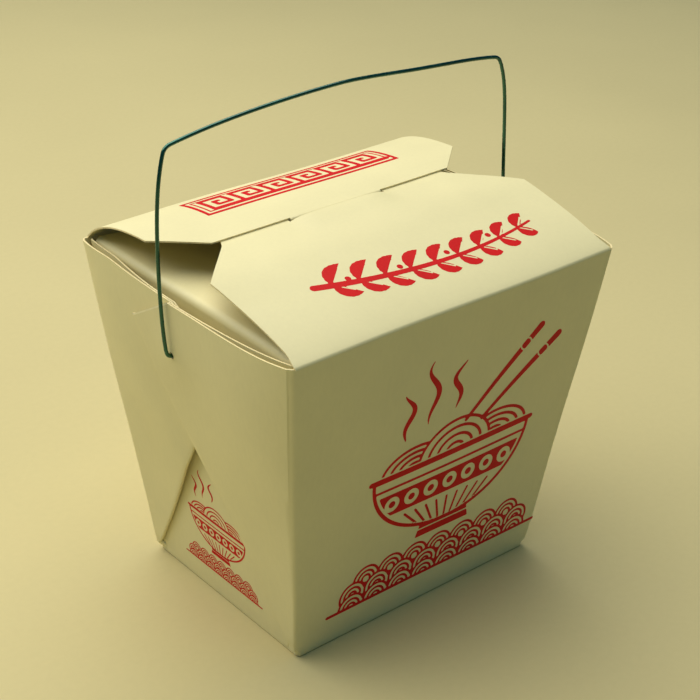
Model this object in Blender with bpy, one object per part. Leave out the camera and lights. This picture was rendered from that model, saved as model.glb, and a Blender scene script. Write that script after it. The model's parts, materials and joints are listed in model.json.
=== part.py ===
"""A takeout carton folded from one sheet of card, with a lid of two flaps and a wire bail.

Metres, +Z up. The front wall faces -Y, and the bail turns about an axis along X. The origin is
the middle of the bottom. The card is drawn by the surface half way through it, and its two skins
lie half a thickness to each side.
"""

import math

import bmesh
import bpy
from mathutils import Vector

MM = 0.001

# The sheet
CARD = 0.45 * MM
BASE_LENGTH = 89.3 * MM
BASE_DEPTH = 69.2 * MM
TOP_LENGTH = 116.4 * MM
TOP_DEPTH = 96.8 * MM
WALL_HEIGHT = 104.5 * MM

# Folds
BASE_FOLD_RADIUS = 0.8 * MM
BASE_CORNER_RADIUS = 1.4 * MM
CORNER_RADIUS_LOW = 0.7 * MM
CORNER_RADIUS_HIGH = 1.2 * MM
FLAP_FOLD_RADIUS = 0.8 * MM

# Bellows corners: a web joins each two walls, folded in two against the outside of the side wall
PLY_PITCH = 0.6 * MM
WEB_DEPTH_LOW = 1.2 * MM
WEB_DEPTH_HIGH = 2.9 * MM
WEB_CLOSED_SHARE = 0.58
WEB_BULGE = 4.0 * MM
WEB_BULGE_HEIGHT = 90.0 * MM
WEB_BULGE_POWER = 3.5
WEB_BULGE_FRONT_SHAPE = 5.0
WEB_BULGE_REAR_SHAPE = 2.0
WEB_START_HEIGHT = 5.0 * MM
WEB_START_END_RUN = 1.0 * MM
WEB_START_SIDE_RUN = 3.0 * MM
WEB_START_CRUSH = 0.22
CRUSH_ABOVE_FOLD = 0.2
CRUSH_BELOW_WEB = 0.125
WEB_CUT_START = 0.0 * MM
WEB_LAP_START = 4.0 * MM
WEB_LAP_LENGTH = 14.0 * MM
PLY_TURN_INSET = 1.0 * MM
PLY_TURN_SHARE = 0.6

# Dust flaps, on the side walls
DUST_FLAP_LENGTH = 34.0 * MM
DUST_FLAP_FOLD_RADIUS = 1.8 * MM
DUST_FLAP_DROP = 0.3 * MM
DUST_FLAP_END_WIDTH = 56.0 * MM
DUST_FLAP_START_SLOPE = -2.0
DUST_FLAP_END_SLOPE = -7.0
DUST_FLAP_TAPER_POWER = 2.2

# Front flap, on the front wall
FRONT_FLAP_START_WIDTH = 111.6 * MM
FRONT_FLAP_WIDTH = 113.4 * MM
FRONT_FLAP_SPREAD_LENGTH = 5.0 * MM
FRONT_FLAP_SHOULDER_Y = -12.7 * MM
FRONT_FLAP_NOSE_WIDTH = 82.0 * MM
FRONT_FLAP_END_WIDTH = 70.0 * MM
FRONT_FLAP_OVERLAP = 12.0 * MM
FRONT_FLAP_START_SLOPE = 25.0
FRONT_FLAP_MIDDLE_SLOPE = 10.0
FRONT_FLAP_END_SLOPE = -1.3
FRONT_FLAP_SETTLE = 12.0 * MM
FRONT_FLAP_CROWN_START = 30.0 * MM
FRONT_FLAP_CROWN_LENGTH = 16.0 * MM
LIP_RAISE = 0.95 * MM
LIP_REACH = 14.0 * MM

# Rear flap, hinged on the rear wall, with the tongue that goes down through the front flap's slit
LID_WIDTH = 112.6 * MM
LID_HINGE_WIDTH = 112.2 * MM
LID_SPREAD_DEPTH = 4.0 * MM
LID_SHOULDER_DEPTH = 30.7 * MM
LID_NOSE_WIDTH = 85.6 * MM
LID_DEPTH = 42.7 * MM
LID_START_SLOPE = 50.0
LID_END_SLOPE = -3.5
LID_SETTLE = 14.8 * MM
LID_CLEARANCE = 0.3 * MM
TONGUE_WIDTH = 32.4 * MM
TONGUE_TIP_WIDTH = 26.0 * MM
TONGUE_LENGTH = 10.0 * MM
TONGUE_TAPER_POWER = 3.0
TONGUE_BEND_RADIUS = 0.6 * MM
SLIT_CLEARANCE = 0.35 * MM
SLIT_END_CLEARANCE = 0.8 * MM

# Wire bail
WIRE = 1.5 * MM
HOLE = 2.6 * MM
HOLE_HEIGHT = 88.5 * MM
BAIL_FOOT_WIDTH = 124.0 * MM
BAIL_BOW = 1.8 * MM
BAIL_BOW_SKEW = 0.8
BAIL_SHOULDER_WIDTH = 120.4 * MM
BAIL_SHOULDER_HEIGHT = 57.9 * MM
BAIL_ARCH = 4.8 * MM
BAIL_ARCH_POWER = 2.5
BAIL_BEND_RADIUS = 4.5 * MM
BAIL_FOOT_RADIUS = 1.6 * MM
HOOK_INSET = 2.0 * MM
HOOK_LENGTH = 5.5 * MM
BAIL_LEAN = 3.0

# How finely the curves are cut
CORNER_STEPS = 3
TURN_STEPS = 2
WEB_RIM_STEPS = 4
WEB_CUT_STEPS = 2
SIDE_STEPS = 6
INNER_STEPS = 2
OUTER_STEPS = 3
BASE_FOLD_STEPS = 3
FOLD_STEPS = 4
WEB_START_STEPS = 4
HEIGHT_STEPS = (0.0, 0.08, 0.18, 0.3, 0.42, 0.54, 0.65, 0.75, 0.84, 0.92, 1.0)
FLAP_STEPS = 6
NOSE_STEPS = 4
SPREAD_STEPS = 3
DUST_FLAP_STEPS = (0.2, 0.4, 0.6, 0.8, 0.93, 1.0)
TONGUE_STEPS = (0.25, 0.5, 0.75, 0.92, 1.0)
HOLE_SIDES = 12
LEG_STEPS = 8
GRIP_STEPS = 6
BEND_STEPS = 5
WIRE_SIDES_RESOLUTION = 3
STRIDE = 0.2 * MM
SHARPEST_MITRE = 0.35

# Colours
CARD_COLOUR = (0.80, 0.76, 0.55)
WIRE_COLOUR = (0.03, 0.10, 0.09)

HALF_CARD = CARD / 2
BASE_CORNER_HEIGHT = BASE_FOLD_RADIUS + 0.1 * MM


def mix(a, b, t):
    return a + (b - a) * t


def smooth(t):
    """A step from 0 to 1 with level ends."""
    t = min(1.0, max(0.0, t))
    return t * t * (3.0 - 2.0 * t)


# Sizes of the walls at a height


def share(z):
    return z / WALL_HEIGHT


def end_wall_y(z):
    """The front and rear walls' distance from the middle."""
    return mix(BASE_DEPTH, TOP_DEPTH, share(z)) / 2 - HALF_CARD


def side_wall_x(z):
    """The side walls' distance from the middle, inside the webs."""
    top = TOP_LENGTH - 2 * WEB_DEPTH_HIGH
    return mix(BASE_LENGTH, top, share(z)) / 2 - HALF_CARD


def web_depth(z):
    """How far a web's outer ply starts outside the side wall, at its corner."""
    return mix(WEB_DEPTH_LOW, WEB_DEPTH_HIGH, share(z))


def ply_gap(fraction, z):
    """From one ply of a web to the other: they lie close at the crease and part to the corner."""
    at_corner = web_depth(z) - PLY_PITCH
    return mix(at_corner, PLY_PITCH, smooth(fraction / WEB_CLOSED_SHARE))


def corner_radius(z):
    return mix(CORNER_RADIUS_LOW, CORNER_RADIUS_HIGH, share(z))


def web_slope():
    """How far the web's crease runs along the side wall for each unit of height.

    On the flat sheet the web fills what the bottom and two walls leave at a corner, and its
    crease halves that angle.
    """
    side_run = (TOP_LENGTH - BASE_LENGTH) / 2
    end_run = (TOP_DEPTH - BASE_DEPTH) / 2
    side_slant = math.hypot(WALL_HEIGHT, side_run)
    end_slant = math.hypot(WALL_HEIGHT, end_run)
    end_taper = math.atan2(side_run, end_slant)
    side_taper = math.atan2(end_run, side_slant)
    crease = (math.pi / 2 - end_taper - side_taper) / 2 - side_taper
    return math.tan(crease) * side_slant / WALL_HEIGHT


WEB_SLOPE = web_slope()


def crease_y(z):
    """Where the front web's crease is, along the side wall. The rear web's is its mirror."""
    return WEB_SLOPE * z - BASE_DEPTH / 2


def web_reach(z):
    """How far the web reaches from its corner along the side wall."""
    return crease_y(z) + end_wall_y(z)


def outer_ply(y, z):
    """How far the outermost ply lies outside the side wall: it bulges off it towards the rim."""
    swell = math.sin(math.pi / 2 * z / WEB_BULGE_HEIGHT) ** WEB_BULGE_POWER
    shape = WEB_BULGE_FRONT_SHAPE if y < 0.0 else WEB_BULGE_REAR_SHAPE
    across = 1.0 - abs(y / end_wall_y(z)) ** shape
    return web_depth(z) + WEB_BULGE * swell * max(0.0, across)


def under_web(y, z):
    """How much lower the rear web's outer ply lies, where the front web covers it."""
    cover = ply_gap((y + end_wall_y(z)) / web_reach(z), z) + PLY_PITCH
    beyond = y - crease_y(z) - WEB_LAP_START
    return cover * (1.0 - smooth(beyond / WEB_LAP_LENGTH))


def web_fractions():
    """Columns across a web, from its corner to its crease, with one where the cut begins."""
    start = (WEB_CUT_START + end_wall_y(WALL_HEIGHT)) / web_reach(WALL_HEIGHT)
    rim = [start * i / WEB_RIM_STEPS for i in range(WEB_RIM_STEPS)]
    cut = [mix(start, 1.0, i / WEB_CUT_STEPS) for i in range(WEB_CUT_STEPS + 1)]
    return rim + cut


def web_top(fraction):
    """The web's upper edge: level with the rim, then cut square across its crease."""

    def over(z):
        y = mix(-end_wall_y(z), crease_y(z), fraction)
        return z - WALL_HEIGHT + WEB_SLOPE * (y - WEB_CUT_START)

    low, high = over(0.0), over(WALL_HEIGHT)
    return WALL_HEIGHT if high <= 0.0 else WALL_HEIGHT * low / (low - high)


# One corner's section, as (distance from the end wall, distance outside the side wall)


def folded_corner(z, front):
    """From the end wall round the corner, out along the outer ply and back along the inner one."""
    radius = corner_radius(z)
    reach = web_reach(z)
    turn = PLY_PITCH / 2
    inset = PLY_TURN_INSET + PLY_TURN_SHARE * radius

    def outer(p):
        y = p - end_wall_y(z)
        if front:
            return outer_ply(y, z)
        return outer_ply(-y, z) - under_web(-y, z)

    middle = web_depth(z) - radius
    points = []
    for i in range(CORNER_STEPS):
        angle = math.pi / 2 * i / CORNER_STEPS
        points.append((radius * (1 - math.cos(angle)), middle + radius * math.sin(angle)))
    fractions = web_fractions()
    for f in fractions:
        p = mix(radius, reach - turn, f)
        points.append((p, outer(p)))
    p, o = points[-1]
    for i in range(1, TURN_STEPS):
        angle = math.pi * i / TURN_STEPS
        points.append((p + turn * math.sin(angle), o - turn + turn * math.cos(angle)))
    for f in reversed(fractions):
        p = mix(inset, reach - turn, f)
        points.append((p, outer(p) - ply_gap(f, z)))
    half = points[-1][1] / 2
    for i in range(1, TURN_STEPS + 1):
        angle = math.pi * i / TURN_STEPS
        points.append((inset - half * math.sin(angle), half * (1 + math.cos(angle))))
    return points


def plain_corner(count):
    """The same columns where the web has died out: spread evenly round a plain corner."""
    radius = BASE_CORNER_RADIUS
    before, after = WEB_START_END_RUN, WEB_START_SIDE_RUN
    bend = math.pi / 2 * radius
    total = before + bend + after
    points = []
    for i in range(count):
        s = total * i / (count - 1)
        if s < before:
            points.append((0.0, s - before - radius))
        elif s > before + bend:
            points.append((radius + s - before - bend, 0.0))
        else:
            angle = (s - before) / radius
            points.append((radius * (1 - math.cos(angle)), radius * (math.sin(angle) - 1)))
    return points


def corner_section(z, front):
    """Near the bottom the web first swells out of the corner, and above that it folds back."""
    folded = folded_corner(max(z, WEB_START_HEIGHT), front)
    plain = plain_corner(len(folded))
    swell, fold = smooth(2 * web_start(z)), smooth(2 * web_start(z) - 1)
    crease = CORNER_STEPS + len(web_fractions()) - 1
    spread = plain[crease][0] / folded[crease][0]
    points = []
    for i, (flat, bent) in enumerate(zip(plain, folded)):
        if i <= crease:
            swollen = (bent[0] * spread, bent[1])
        else:
            fall = (i - crease) / (len(folded) - 1 - crease)
            swollen = (flat[0], mix(folded[crease][1], 0.0, fall))
        at_start = (mix(flat[0], swollen[0], swell), mix(flat[1], swollen[1], swell))
        points.append((mix(at_start[0], bent[0], fold), mix(at_start[1], bent[1], fold)))
    return points


def web_start(z):
    """From 0 where the corner is plain to 1 where the web is folded flat."""
    return (z - BASE_CORNER_HEIGHT) / (WEB_START_HEIGHT - BASE_CORNER_HEIGHT)


def crushed(z):
    """The share of its thickness that the card keeps in a corner: its folds crush it at the start."""
    t = web_start(z)
    fade = smooth(t / CRUSH_ABOVE_FOLD) if t < 0.5 else smooth((1.0 - t) / CRUSH_BELOW_WEB)
    return mix(1.0, WEB_START_CRUSH, fade)


def corner_tops():
    """The height at which each column of a corner's section ends."""
    tops = [WALL_HEIGHT] * CORNER_STEPS
    web = [web_top(f) for f in web_fractions()]
    tops += web + [web[-1]] * (TURN_STEPS - 1) + web[::-1]
    return tops + [dust_fold_start()] * TURN_STEPS


def dust_fold_start():
    return WALL_HEIGHT - DUST_FLAP_DROP - DUST_FLAP_FOLD_RADIUS


def front_fold_start():
    return WALL_HEIGHT - FLAP_FOLD_RADIUS


def rear_wall_top():
    return WALL_HEIGHT - HALF_CARD - LID_CLEARANCE


# Columns of the front wall and of the lid: those within the slit or the tongue stay where they are


def column_x(step, inner, outer):
    """Column 0 is the middle, one at INNER_STEPS is at inner and the last is at outer."""
    size = abs(step)
    if size <= INNER_STEPS:
        x = inner * size / INNER_STEPS
    else:
        x = mix(inner, outer, (size - INNER_STEPS) / OUTER_STEPS)
    return math.copysign(x, step)


HALF_COLUMNS = INNER_STEPS + OUTER_STEPS
FLAP_COLUMNS = range(-HALF_COLUMNS, HALF_COLUMNS + 1)
INNER_SEGMENTS = range(OUTER_STEPS, OUTER_STEPS + 2 * INNER_STEPS)
SLIT_HALF_WIDTH = TONGUE_WIDTH / 2 + SLIT_END_CLEARANCE


def section(z):
    """The whole section at a height: points (x, y), anticlockwise from the front wall's left end."""
    corners = [corner_section(z, front) for front in (True, False)]
    y_end = end_wall_y(z)
    x_side = side_wall_x(z)

    def placed(side, end, corner):
        return [(side * (x_side + o), end * (y_end - p)) for p, o in corner]

    half = x_side + corners[0][0][1]
    points = [(column_x(c, SLIT_HALF_WIDTH, half), -y_end) for c in FLAP_COLUMNS][:-1]
    points += placed(1, -1, corners[0])
    points += side_run(points[-1], placed(1, 1, corners[1])[-1])
    points += placed(1, 1, corners[1])[::-1]
    points += [(-column_x(c, SLIT_HALF_WIDTH, half), y_end) for c in FLAP_COLUMNS][1:-1]
    points += placed(-1, 1, corners[1])
    points += side_run(points[-1], placed(-1, -1, corners[0])[-1])
    points += placed(-1, -1, corners[0])[::-1][:-1]
    return points


def side_run(start, end):
    steps = [i / SIDE_STEPS for i in range(1, SIDE_STEPS)]
    return [(mix(start[0], end[0], t), mix(start[1], end[1], t)) for t in steps]


def section_tops():
    """The height at which each column of the section ends."""
    corner = corner_tops()
    side = [dust_fold_start()] * (SIDE_STEPS - 1)
    wall = len(FLAP_COLUMNS)
    tops = [front_fold_start()] * wall + corner[1:] + side
    tops += corner[::-1][:-1] + [rear_wall_top()] * wall + corner[1:] + side
    return tops + corner[::-1][:-1]


def section_thickness(z):
    """The share of its thickness that the card keeps at each column of the section."""
    corner = [crushed(z)] * (len(corner_tops()) - 2)
    side = [1.0] * (SIDE_STEPS + 1)
    wall = [1.0] * (len(FLAP_COLUMNS) - 2)
    half = wall + [1.0] + corner + side + corner + [1.0]
    return [1.0] + half + half[:-1]


def outward(points):
    """For each point of a closed outline, the step that moves both lines at it out by one unit."""
    steps = []
    for i, point in enumerate(points):
        here = Vector(point)
        a = (here - Vector(points[i - 1])).normalized()
        b = (Vector(points[(i + 1) % len(points)]) - here).normalized()
        normal = Vector((a.y + b.y, -a.x - b.x)).normalized()
        steps.append(normal / max(SHARPEST_MITRE, normal.dot(Vector((a.y, -a.x)))))
    return steps


# Sheets: a row is a pair of lists, the outer skin's vertices and the inner skin's


def add_row(bm, middles, offsets):
    outer = [bm.verts.new(m + o) for m, o in zip(middles, offsets)]
    inner = [bm.verts.new(m - o) for m, o in zip(middles, offsets)]
    return outer, inner


def part_of(row, start, count):
    """Some columns of a row, counted round past its end."""
    size = len(row[0])
    return tuple([skin[(start + i) % size] for i in range(count)] for skin in row)


def join_rows(bm, low, high, segments, closed=False):
    """Both skins between two rows, for the segments named."""
    size = len(low[0])
    for i in segments:
        j = (i + 1) % size if closed else i + 1
        for a, b in zip(low, high):
            bm.faces.new((a[i], a[j], b[j], b[i]))


def close_edge(bm, row, segments, closed=False):
    """The cut edge of the card along a row."""
    size = len(row[0])
    for i in segments:
        j = (i + 1) % size if closed else i + 1
        bm.faces.new((row[0][i], row[0][j], row[1][j], row[1][i]))


def close_ends(bm, rows, column):
    """The cut edge of the card along a column."""
    for low, high in zip(rows, rows[1:]):
        bm.faces.new((low[0][column], high[0][column], high[1][column], low[1][column]))


def finish_mesh(bm, name):
    bmesh.ops.recalc_face_normals(bm, faces=bm.faces)
    mesh = bpy.data.meshes.new(name)
    bm.to_mesh(mesh)
    bm.free()
    return mesh


def strip(heading, length, start):
    """A flap's side view: (distance, inward, up, heading) at each stride along it."""
    steps = max(2, round(length / STRIDE))
    stride = length / steps
    s, inward, up = 0.0, start[0], start[1]
    points = [(s, inward, up, heading(0.0))]
    for _ in range(steps):
        angle = heading(s + stride / 2)
        s += stride
        inward += stride * math.cos(angle)
        up += stride * math.sin(angle)
        points.append((s, inward, up, heading(s)))
    return points


def along(points, value, key):
    """The strip's point where its value number key reaches a value."""
    for a, b in zip(points, points[1:]):
        if b[key] >= value:
            t = (value - a[key]) / (b[key] - a[key])
            return tuple(mix(p, q, t) for p, q in zip(a, b))
    return points[-1]


# The lid's side view, which the front flap's slit also follows


def lid_heading(s):
    slope = LID_END_SLOPE + (LID_START_SLOPE - LID_END_SLOPE) * math.exp(-s / LID_SETTLE)
    return math.radians(slope)


def hinge_y():
    """The lid turns about the crease's outer side, so that it can fold right back."""
    return end_wall_y(WALL_HEIGHT) + HALF_CARD


LID_START = HALF_CARD
LID_STRIP = strip(lid_heading, 1.4 * LID_DEPTH, (LID_START, 0.0))


def tongue_bend():
    """The lid's point where the tongue turns down, and the radius of the tongue's path."""
    _, inward, up, heading = along(LID_STRIP, LID_DEPTH, 1)
    turn = Vector((inward, up)) + TONGUE_BEND_RADIUS * Vector((math.sin(heading), -math.cos(heading)))
    return turn, turn.length + TONGUE_BEND_RADIUS, heading


def slit_y(up, side):
    """Where a circle round the hinge, one side or the other of the tongue, is at a height."""
    _, radius, _ = tongue_bend()
    reach = radius + side * (HALF_CARD + SLIT_CLEARANCE)
    return hinge_y() - math.sqrt(reach**2 - (up - WALL_HEIGHT) ** 2)


# The carton: bottom, walls, webs, dust flaps and front flap, all one sheet


def wall_taper(run):
    return math.atan2(run, WALL_HEIGHT)


def fold_heading(wall, radius, after):
    """A fold from a wall into a flap, whose own headings follow."""
    start = after(0.0)
    bend = radius * (wall - start)
    return lambda s: wall - s / radius if s < bend else after(s - bend), bend


def front_flap_heading(s):
    settle = math.exp(-s / FRONT_FLAP_SETTLE)
    slope = mix(FRONT_FLAP_MIDDLE_SLOPE, FRONT_FLAP_START_SLOPE, settle)
    crown = smooth((s - FRONT_FLAP_CROWN_START) / FRONT_FLAP_CROWN_LENGTH)
    return math.radians(mix(slope, FRONT_FLAP_END_SLOPE, crown))


def dust_flap_heading(s):
    return math.radians(mix(DUST_FLAP_START_SLOPE, DUST_FLAP_END_SLOPE, s / DUST_FLAP_LENGTH))


def front_flap_width(y):
    """Half the front flap's width at a place along it."""
    fold = -end_wall_y(WALL_HEIGHT)
    nose = slit_y(WALL_HEIGHT, 1)
    end = nose + FRONT_FLAP_OVERLAP
    if y < FRONT_FLAP_SHOULDER_Y:
        at_fold = side_wall_x(WALL_HEIGHT) + WEB_DEPTH_HIGH - CORNER_RADIUS_HIGH
        start = mix(at_fold, FRONT_FLAP_START_WIDTH / 2, smooth((y - fold) / FRONT_FLAP_SPREAD_LENGTH))
        return mix(start, FRONT_FLAP_WIDTH / 2, (y - fold) / (FRONT_FLAP_SHOULDER_Y - fold))
    if y < nose:
        t = (y - FRONT_FLAP_SHOULDER_Y) / (nose - FRONT_FLAP_SHOULDER_Y)
        return mix(FRONT_FLAP_WIDTH, FRONT_FLAP_NOSE_WIDTH, t) / 2
    t = (y - nose) / (end - nose)
    return mix(FRONT_FLAP_NOSE_WIDTH, FRONT_FLAP_END_WIDTH, t) / 2


def add_front_flap(bm, wall_top):
    """Folds the front wall's top row over into its flap, with the slit for the tongue."""
    tilt = math.pi / 2 + wall_taper((TOP_DEPTH - BASE_DEPTH) / 2)
    heading, bend = fold_heading(tilt, FLAP_FOLD_RADIUS, front_flap_heading)
    start = (-end_wall_y(front_fold_start()), front_fold_start())
    side = strip(heading, TOP_DEPTH, start)

    stations = [along(side, bend * i / FOLD_STEPS, 0) for i in range(1, FOLD_STEPS + 1)]
    first = stations[-1][1]
    lip = slit_y(along(side, slit_y(WALL_HEIGHT, 1), 1)[2] - HALF_CARD, 1)
    back = slit_y(along(side, slit_y(WALL_HEIGHT, -1), 1)[2] + HALF_CARD, -1)
    ys = [mix(first, FRONT_FLAP_SHOULDER_Y, i / FLAP_STEPS) for i in range(1, FLAP_STEPS + 1)]
    ys += [mix(FRONT_FLAP_SHOULDER_Y, lip, i / NOSE_STEPS) for i in range(1, NOSE_STEPS + 1)]
    slit_row = FOLD_STEPS + len(ys)
    ys += [back, mix(back, lip + FRONT_FLAP_OVERLAP, 0.5), lip + FRONT_FLAP_OVERLAP]
    stations += [along(side, y, 1) for y in ys]

    rows = [wall_top]
    for number, (_, y, z, angle) in enumerate(stations, 1):
        half = front_flap_width(y)
        raised = LIP_RAISE * smooth((y - lip + LIP_REACH) / LIP_REACH) if number <= slit_row else 0.0
        offset = Vector((0.0, -math.sin(angle), math.cos(angle))) * HALF_CARD
        middles = []
        for column in FLAP_COLUMNS:
            x = column_x(column, SLIT_HALF_WIDTH, half)
            arch = max(0.0, 1.0 - (x / SLIT_HALF_WIDTH) ** 2)
            middles.append(Vector((x, y, z + raised * arch)))
        rows.append(add_row(bm, middles, [offset] * len(middles)))

    every = range(len(FLAP_COLUMNS) - 1)
    slit = INNER_SEGMENTS
    for number, (low, high) in enumerate(zip(rows, rows[1:])):
        cut = number == slit_row
        join_rows(bm, low, high, [i for i in every if not (cut and i in slit)])
    close_ends(bm, rows, 0)
    close_ends(bm, rows, -1)
    close_edge(bm, rows[-1], every)
    lips = rows[slit_row : slit_row + 2]
    for row in lips:
        close_edge(bm, row, slit)
    for column in (slit.start, slit.stop):
        close_ends(bm, lips, column)


def add_dust_flap(bm, wall_top, side):
    """Folds a side wall's top row inwards."""
    tilt = math.pi / 2 + wall_taper(side_wall_x(WALL_HEIGHT) - side_wall_x(0.0))
    heading, bend = fold_heading(tilt, DUST_FLAP_FOLD_RADIUS, dust_flap_heading)
    start = (-side_wall_x(dust_fold_start()), dust_fold_start())
    profile = strip(heading, bend + DUST_FLAP_LENGTH, start)
    distances = [bend * i / FOLD_STEPS for i in range(1, FOLD_STEPS + 1)]
    distances += [bend + DUST_FLAP_LENGTH * t for t in DUST_FLAP_STEPS]
    wall_half = abs(wall_top[0][0].co.y)

    rows = [wall_top]
    for s in distances:
        _, inward, z, angle = along(profile, s, 0)
        t = max(0.0, (s - bend) / DUST_FLAP_LENGTH)
        half = mix(wall_half, DUST_FLAP_END_WIDTH / 2, t**DUST_FLAP_TAPER_POWER)
        offset = Vector((side * math.sin(angle), 0.0, math.cos(angle))) * HALF_CARD
        count = len(wall_top[0])
        ys = [mix(-half, half, i / (count - 1)) * side for i in range(count)]
        middles = [Vector((-side * inward, y, z)) for y in ys]
        rows.append(add_row(bm, middles, [offset] * count))
    every = range(len(wall_top[0]) - 1)
    for low, high in zip(rows, rows[1:]):
        join_rows(bm, low, high, every)
    close_ends(bm, rows, 0)
    close_ends(bm, rows, -1)
    close_edge(bm, rows[-1], every)


def base_rows(bm):
    """The rows of the fold round the bottom, from the bottom up to the plain corners."""
    plain = section(BASE_CORNER_HEIGHT)
    steps = outward(plain)
    inner_radius = BASE_FOLD_RADIUS - CARD
    rows = []
    for i in range(BASE_FOLD_STEPS):
        angle = math.pi / 2 * i / BASE_FOLD_STEPS
        rise, inset = 1 - math.cos(angle), 1 - math.sin(angle)
        skins = []
        for radius, side, floor in ((BASE_FOLD_RADIUS, 1, 0.0), (inner_radius, -1, CARD)):
            move = side * HALF_CARD - radius * inset
            z = floor + radius * rise
            skin = [bm.verts.new((x + n.x * move, y + n.y * move, z)) for (x, y), n in zip(plain, steps)]
            skins.append(skin)
        rows.append(tuple(skins))
    return rows


def wall_rows(bm):
    """The rows from the plain corners up to the rim, each column up to its own top."""
    tops = section_tops()
    sections = {}

    def at(z, column):
        key = round(z, 7)
        if key not in sections:
            points = section(z)
            sections[key] = points, outward(points), section_thickness(z)
        points, steps, thickness = sections[key]
        point, step = points[column], steps[column]
        return Vector((*point, z)), Vector((*step, 0.0)) * HALF_CARD * thickness[column]

    steps = range(WEB_START_STEPS)
    start = [mix(BASE_CORNER_HEIGHT, WEB_START_HEIGHT, i / WEB_START_STEPS) for i in steps]
    heights = [[z] * len(tops) for z in start]
    heights += [[mix(WEB_START_HEIGHT, top, t) for top in tops] for t in HEIGHT_STEPS]
    rows = []
    for row in heights:
        pairs = [at(z, column) for column, z in enumerate(row)]
        rows.append(add_row(bm, [m for m, _ in pairs], [o for _, o in pairs]))
    return rows


def carton_mesh():
    bm = bmesh.new()
    rows = base_rows(bm) + wall_rows(bm)
    size = len(rows[0][0])
    for low, high in zip(rows, rows[1:]):
        join_rows(bm, low, high, range(size), closed=True)
    bm.faces.new(rows[0][0])
    bm.faces.new(rows[0][1])

    wall = len(FLAP_COLUMNS)
    corner = len(corner_tops())
    side = SIDE_STEPS + 1
    right = wall + corner - 2
    left = right + side - 1 + 2 * (corner - 1) + wall - 1
    top = rows[-1]
    flaps = [range(0, wall - 1), range(right, right + side - 1), range(left, left + side - 1)]
    free = [i for i in range(size) if not any(i in flap for flap in flaps)]
    close_edge(bm, top, free, closed=True)
    add_front_flap(bm, part_of(top, 0, wall))
    add_dust_flap(bm, part_of(top, right, side), 1)
    add_dust_flap(bm, part_of(top, left, side), -1)
    return finish_mesh(bm, "carton")


# The lid: the rear flap, whose own origin is on its hinge


def lid_width(inward):
    """Half the lid's width at a place along it."""
    if inward < LID_SHOULDER_DEPTH:
        return mix(LID_HINGE_WIDTH, LID_WIDTH, smooth(inward / LID_SPREAD_DEPTH)) / 2
    t = (inward - LID_SHOULDER_DEPTH) / (LID_DEPTH - LID_SHOULDER_DEPTH)
    return mix(LID_WIDTH, LID_NOSE_WIDTH, t) / 2


def tongue_stations():
    """The tongue's side view: it bends down, then follows a circle round the hinge."""
    turn, radius, start = tongue_bend()
    outward_angle = math.atan2(turn.y, turn.x)
    bend = start + math.pi / 2 - outward_angle
    stations = []
    for i in range(1, FOLD_STEPS + 1):
        angle = start - bend * i / FOLD_STEPS
        point = turn + TONGUE_BEND_RADIUS * Vector((-math.sin(angle), math.cos(angle)))
        stations.append((point, angle, 0.0))
    for t in TONGUE_STEPS:
        around = outward_angle - t * TONGUE_LENGTH / radius
        point = radius * Vector((math.cos(around), math.sin(around)))
        stations.append((point, around - math.pi / 2, t))
    return stations


def lid_mesh():
    """Local axes: y is negative towards the front, and z is up from the hinge."""
    bm = bmesh.new()
    depths = [mix(LID_START, LID_SPREAD_DEPTH, i / SPREAD_STEPS) for i in range(SPREAD_STEPS)]
    depths += [mix(LID_SPREAD_DEPTH, LID_SHOULDER_DEPTH, i / FLAP_STEPS) for i in range(FLAP_STEPS)]
    depths += [mix(LID_SHOULDER_DEPTH, LID_DEPTH, i / NOSE_STEPS) for i in range(NOSE_STEPS + 1)]
    rows = []
    for depth in depths:
        _, inward, up, angle = along(LID_STRIP, depth, 1)
        offset = Vector((0.0, math.sin(angle), math.cos(angle))) * HALF_CARD
        xs = [column_x(c, TONGUE_WIDTH / 2, lid_width(inward)) for c in FLAP_COLUMNS]
        middles = [Vector((x, -inward, up)) for x in xs]
        rows.append(add_row(bm, middles, [offset] * len(middles)))
    every = range(len(FLAP_COLUMNS) - 1)
    for low, high in zip(rows, rows[1:]):
        join_rows(bm, low, high, every)
    close_edge(bm, rows[0], every)
    close_ends(bm, rows, 0)
    close_ends(bm, rows, -1)
    close_edge(bm, rows[-1], [i for i in every if i not in INNER_SEGMENTS])

    columns = range(-INNER_STEPS, INNER_STEPS + 1)
    tongue = [part_of(rows[-1], INNER_SEGMENTS.start, len(columns))]
    for point, angle, t in tongue_stations():
        half = mix(TONGUE_WIDTH, TONGUE_TIP_WIDTH, t**TONGUE_TAPER_POWER) / 2
        offset = Vector((0.0, math.sin(angle), math.cos(angle))) * HALF_CARD
        middles = [Vector((half * i / INNER_STEPS, -point.x, point.y)) for i in columns]
        tongue.append(add_row(bm, middles, [offset] * len(middles)))
    across = range(len(columns) - 1)
    for low, high in zip(tongue, tongue[1:]):
        join_rows(bm, low, high, across)
    close_ends(bm, tongue, 0)
    close_ends(bm, tongue, -1)
    close_edge(bm, tongue[-1], across)
    return finish_mesh(bm, "rear_lid_flap")


# The bail


def rounded(before, corner, after, radius):
    """The arc that rounds a corner of a path."""
    here = Vector(corner)
    a = (Vector(before) - here).normalized()
    b = (Vector(after) - here).normalized()
    opening = a.angle(b)
    centre = here + (a + b).normalized() * radius / math.sin(opening / 2)
    start = here + a * radius / math.tan(opening / 2) - centre
    end = here + b * radius / math.tan(opening / 2) - centre
    return [centre + start.lerp(end, i / BEND_STEPS).normalized() * radius for i in range(BEND_STEPS + 1)]


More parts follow.
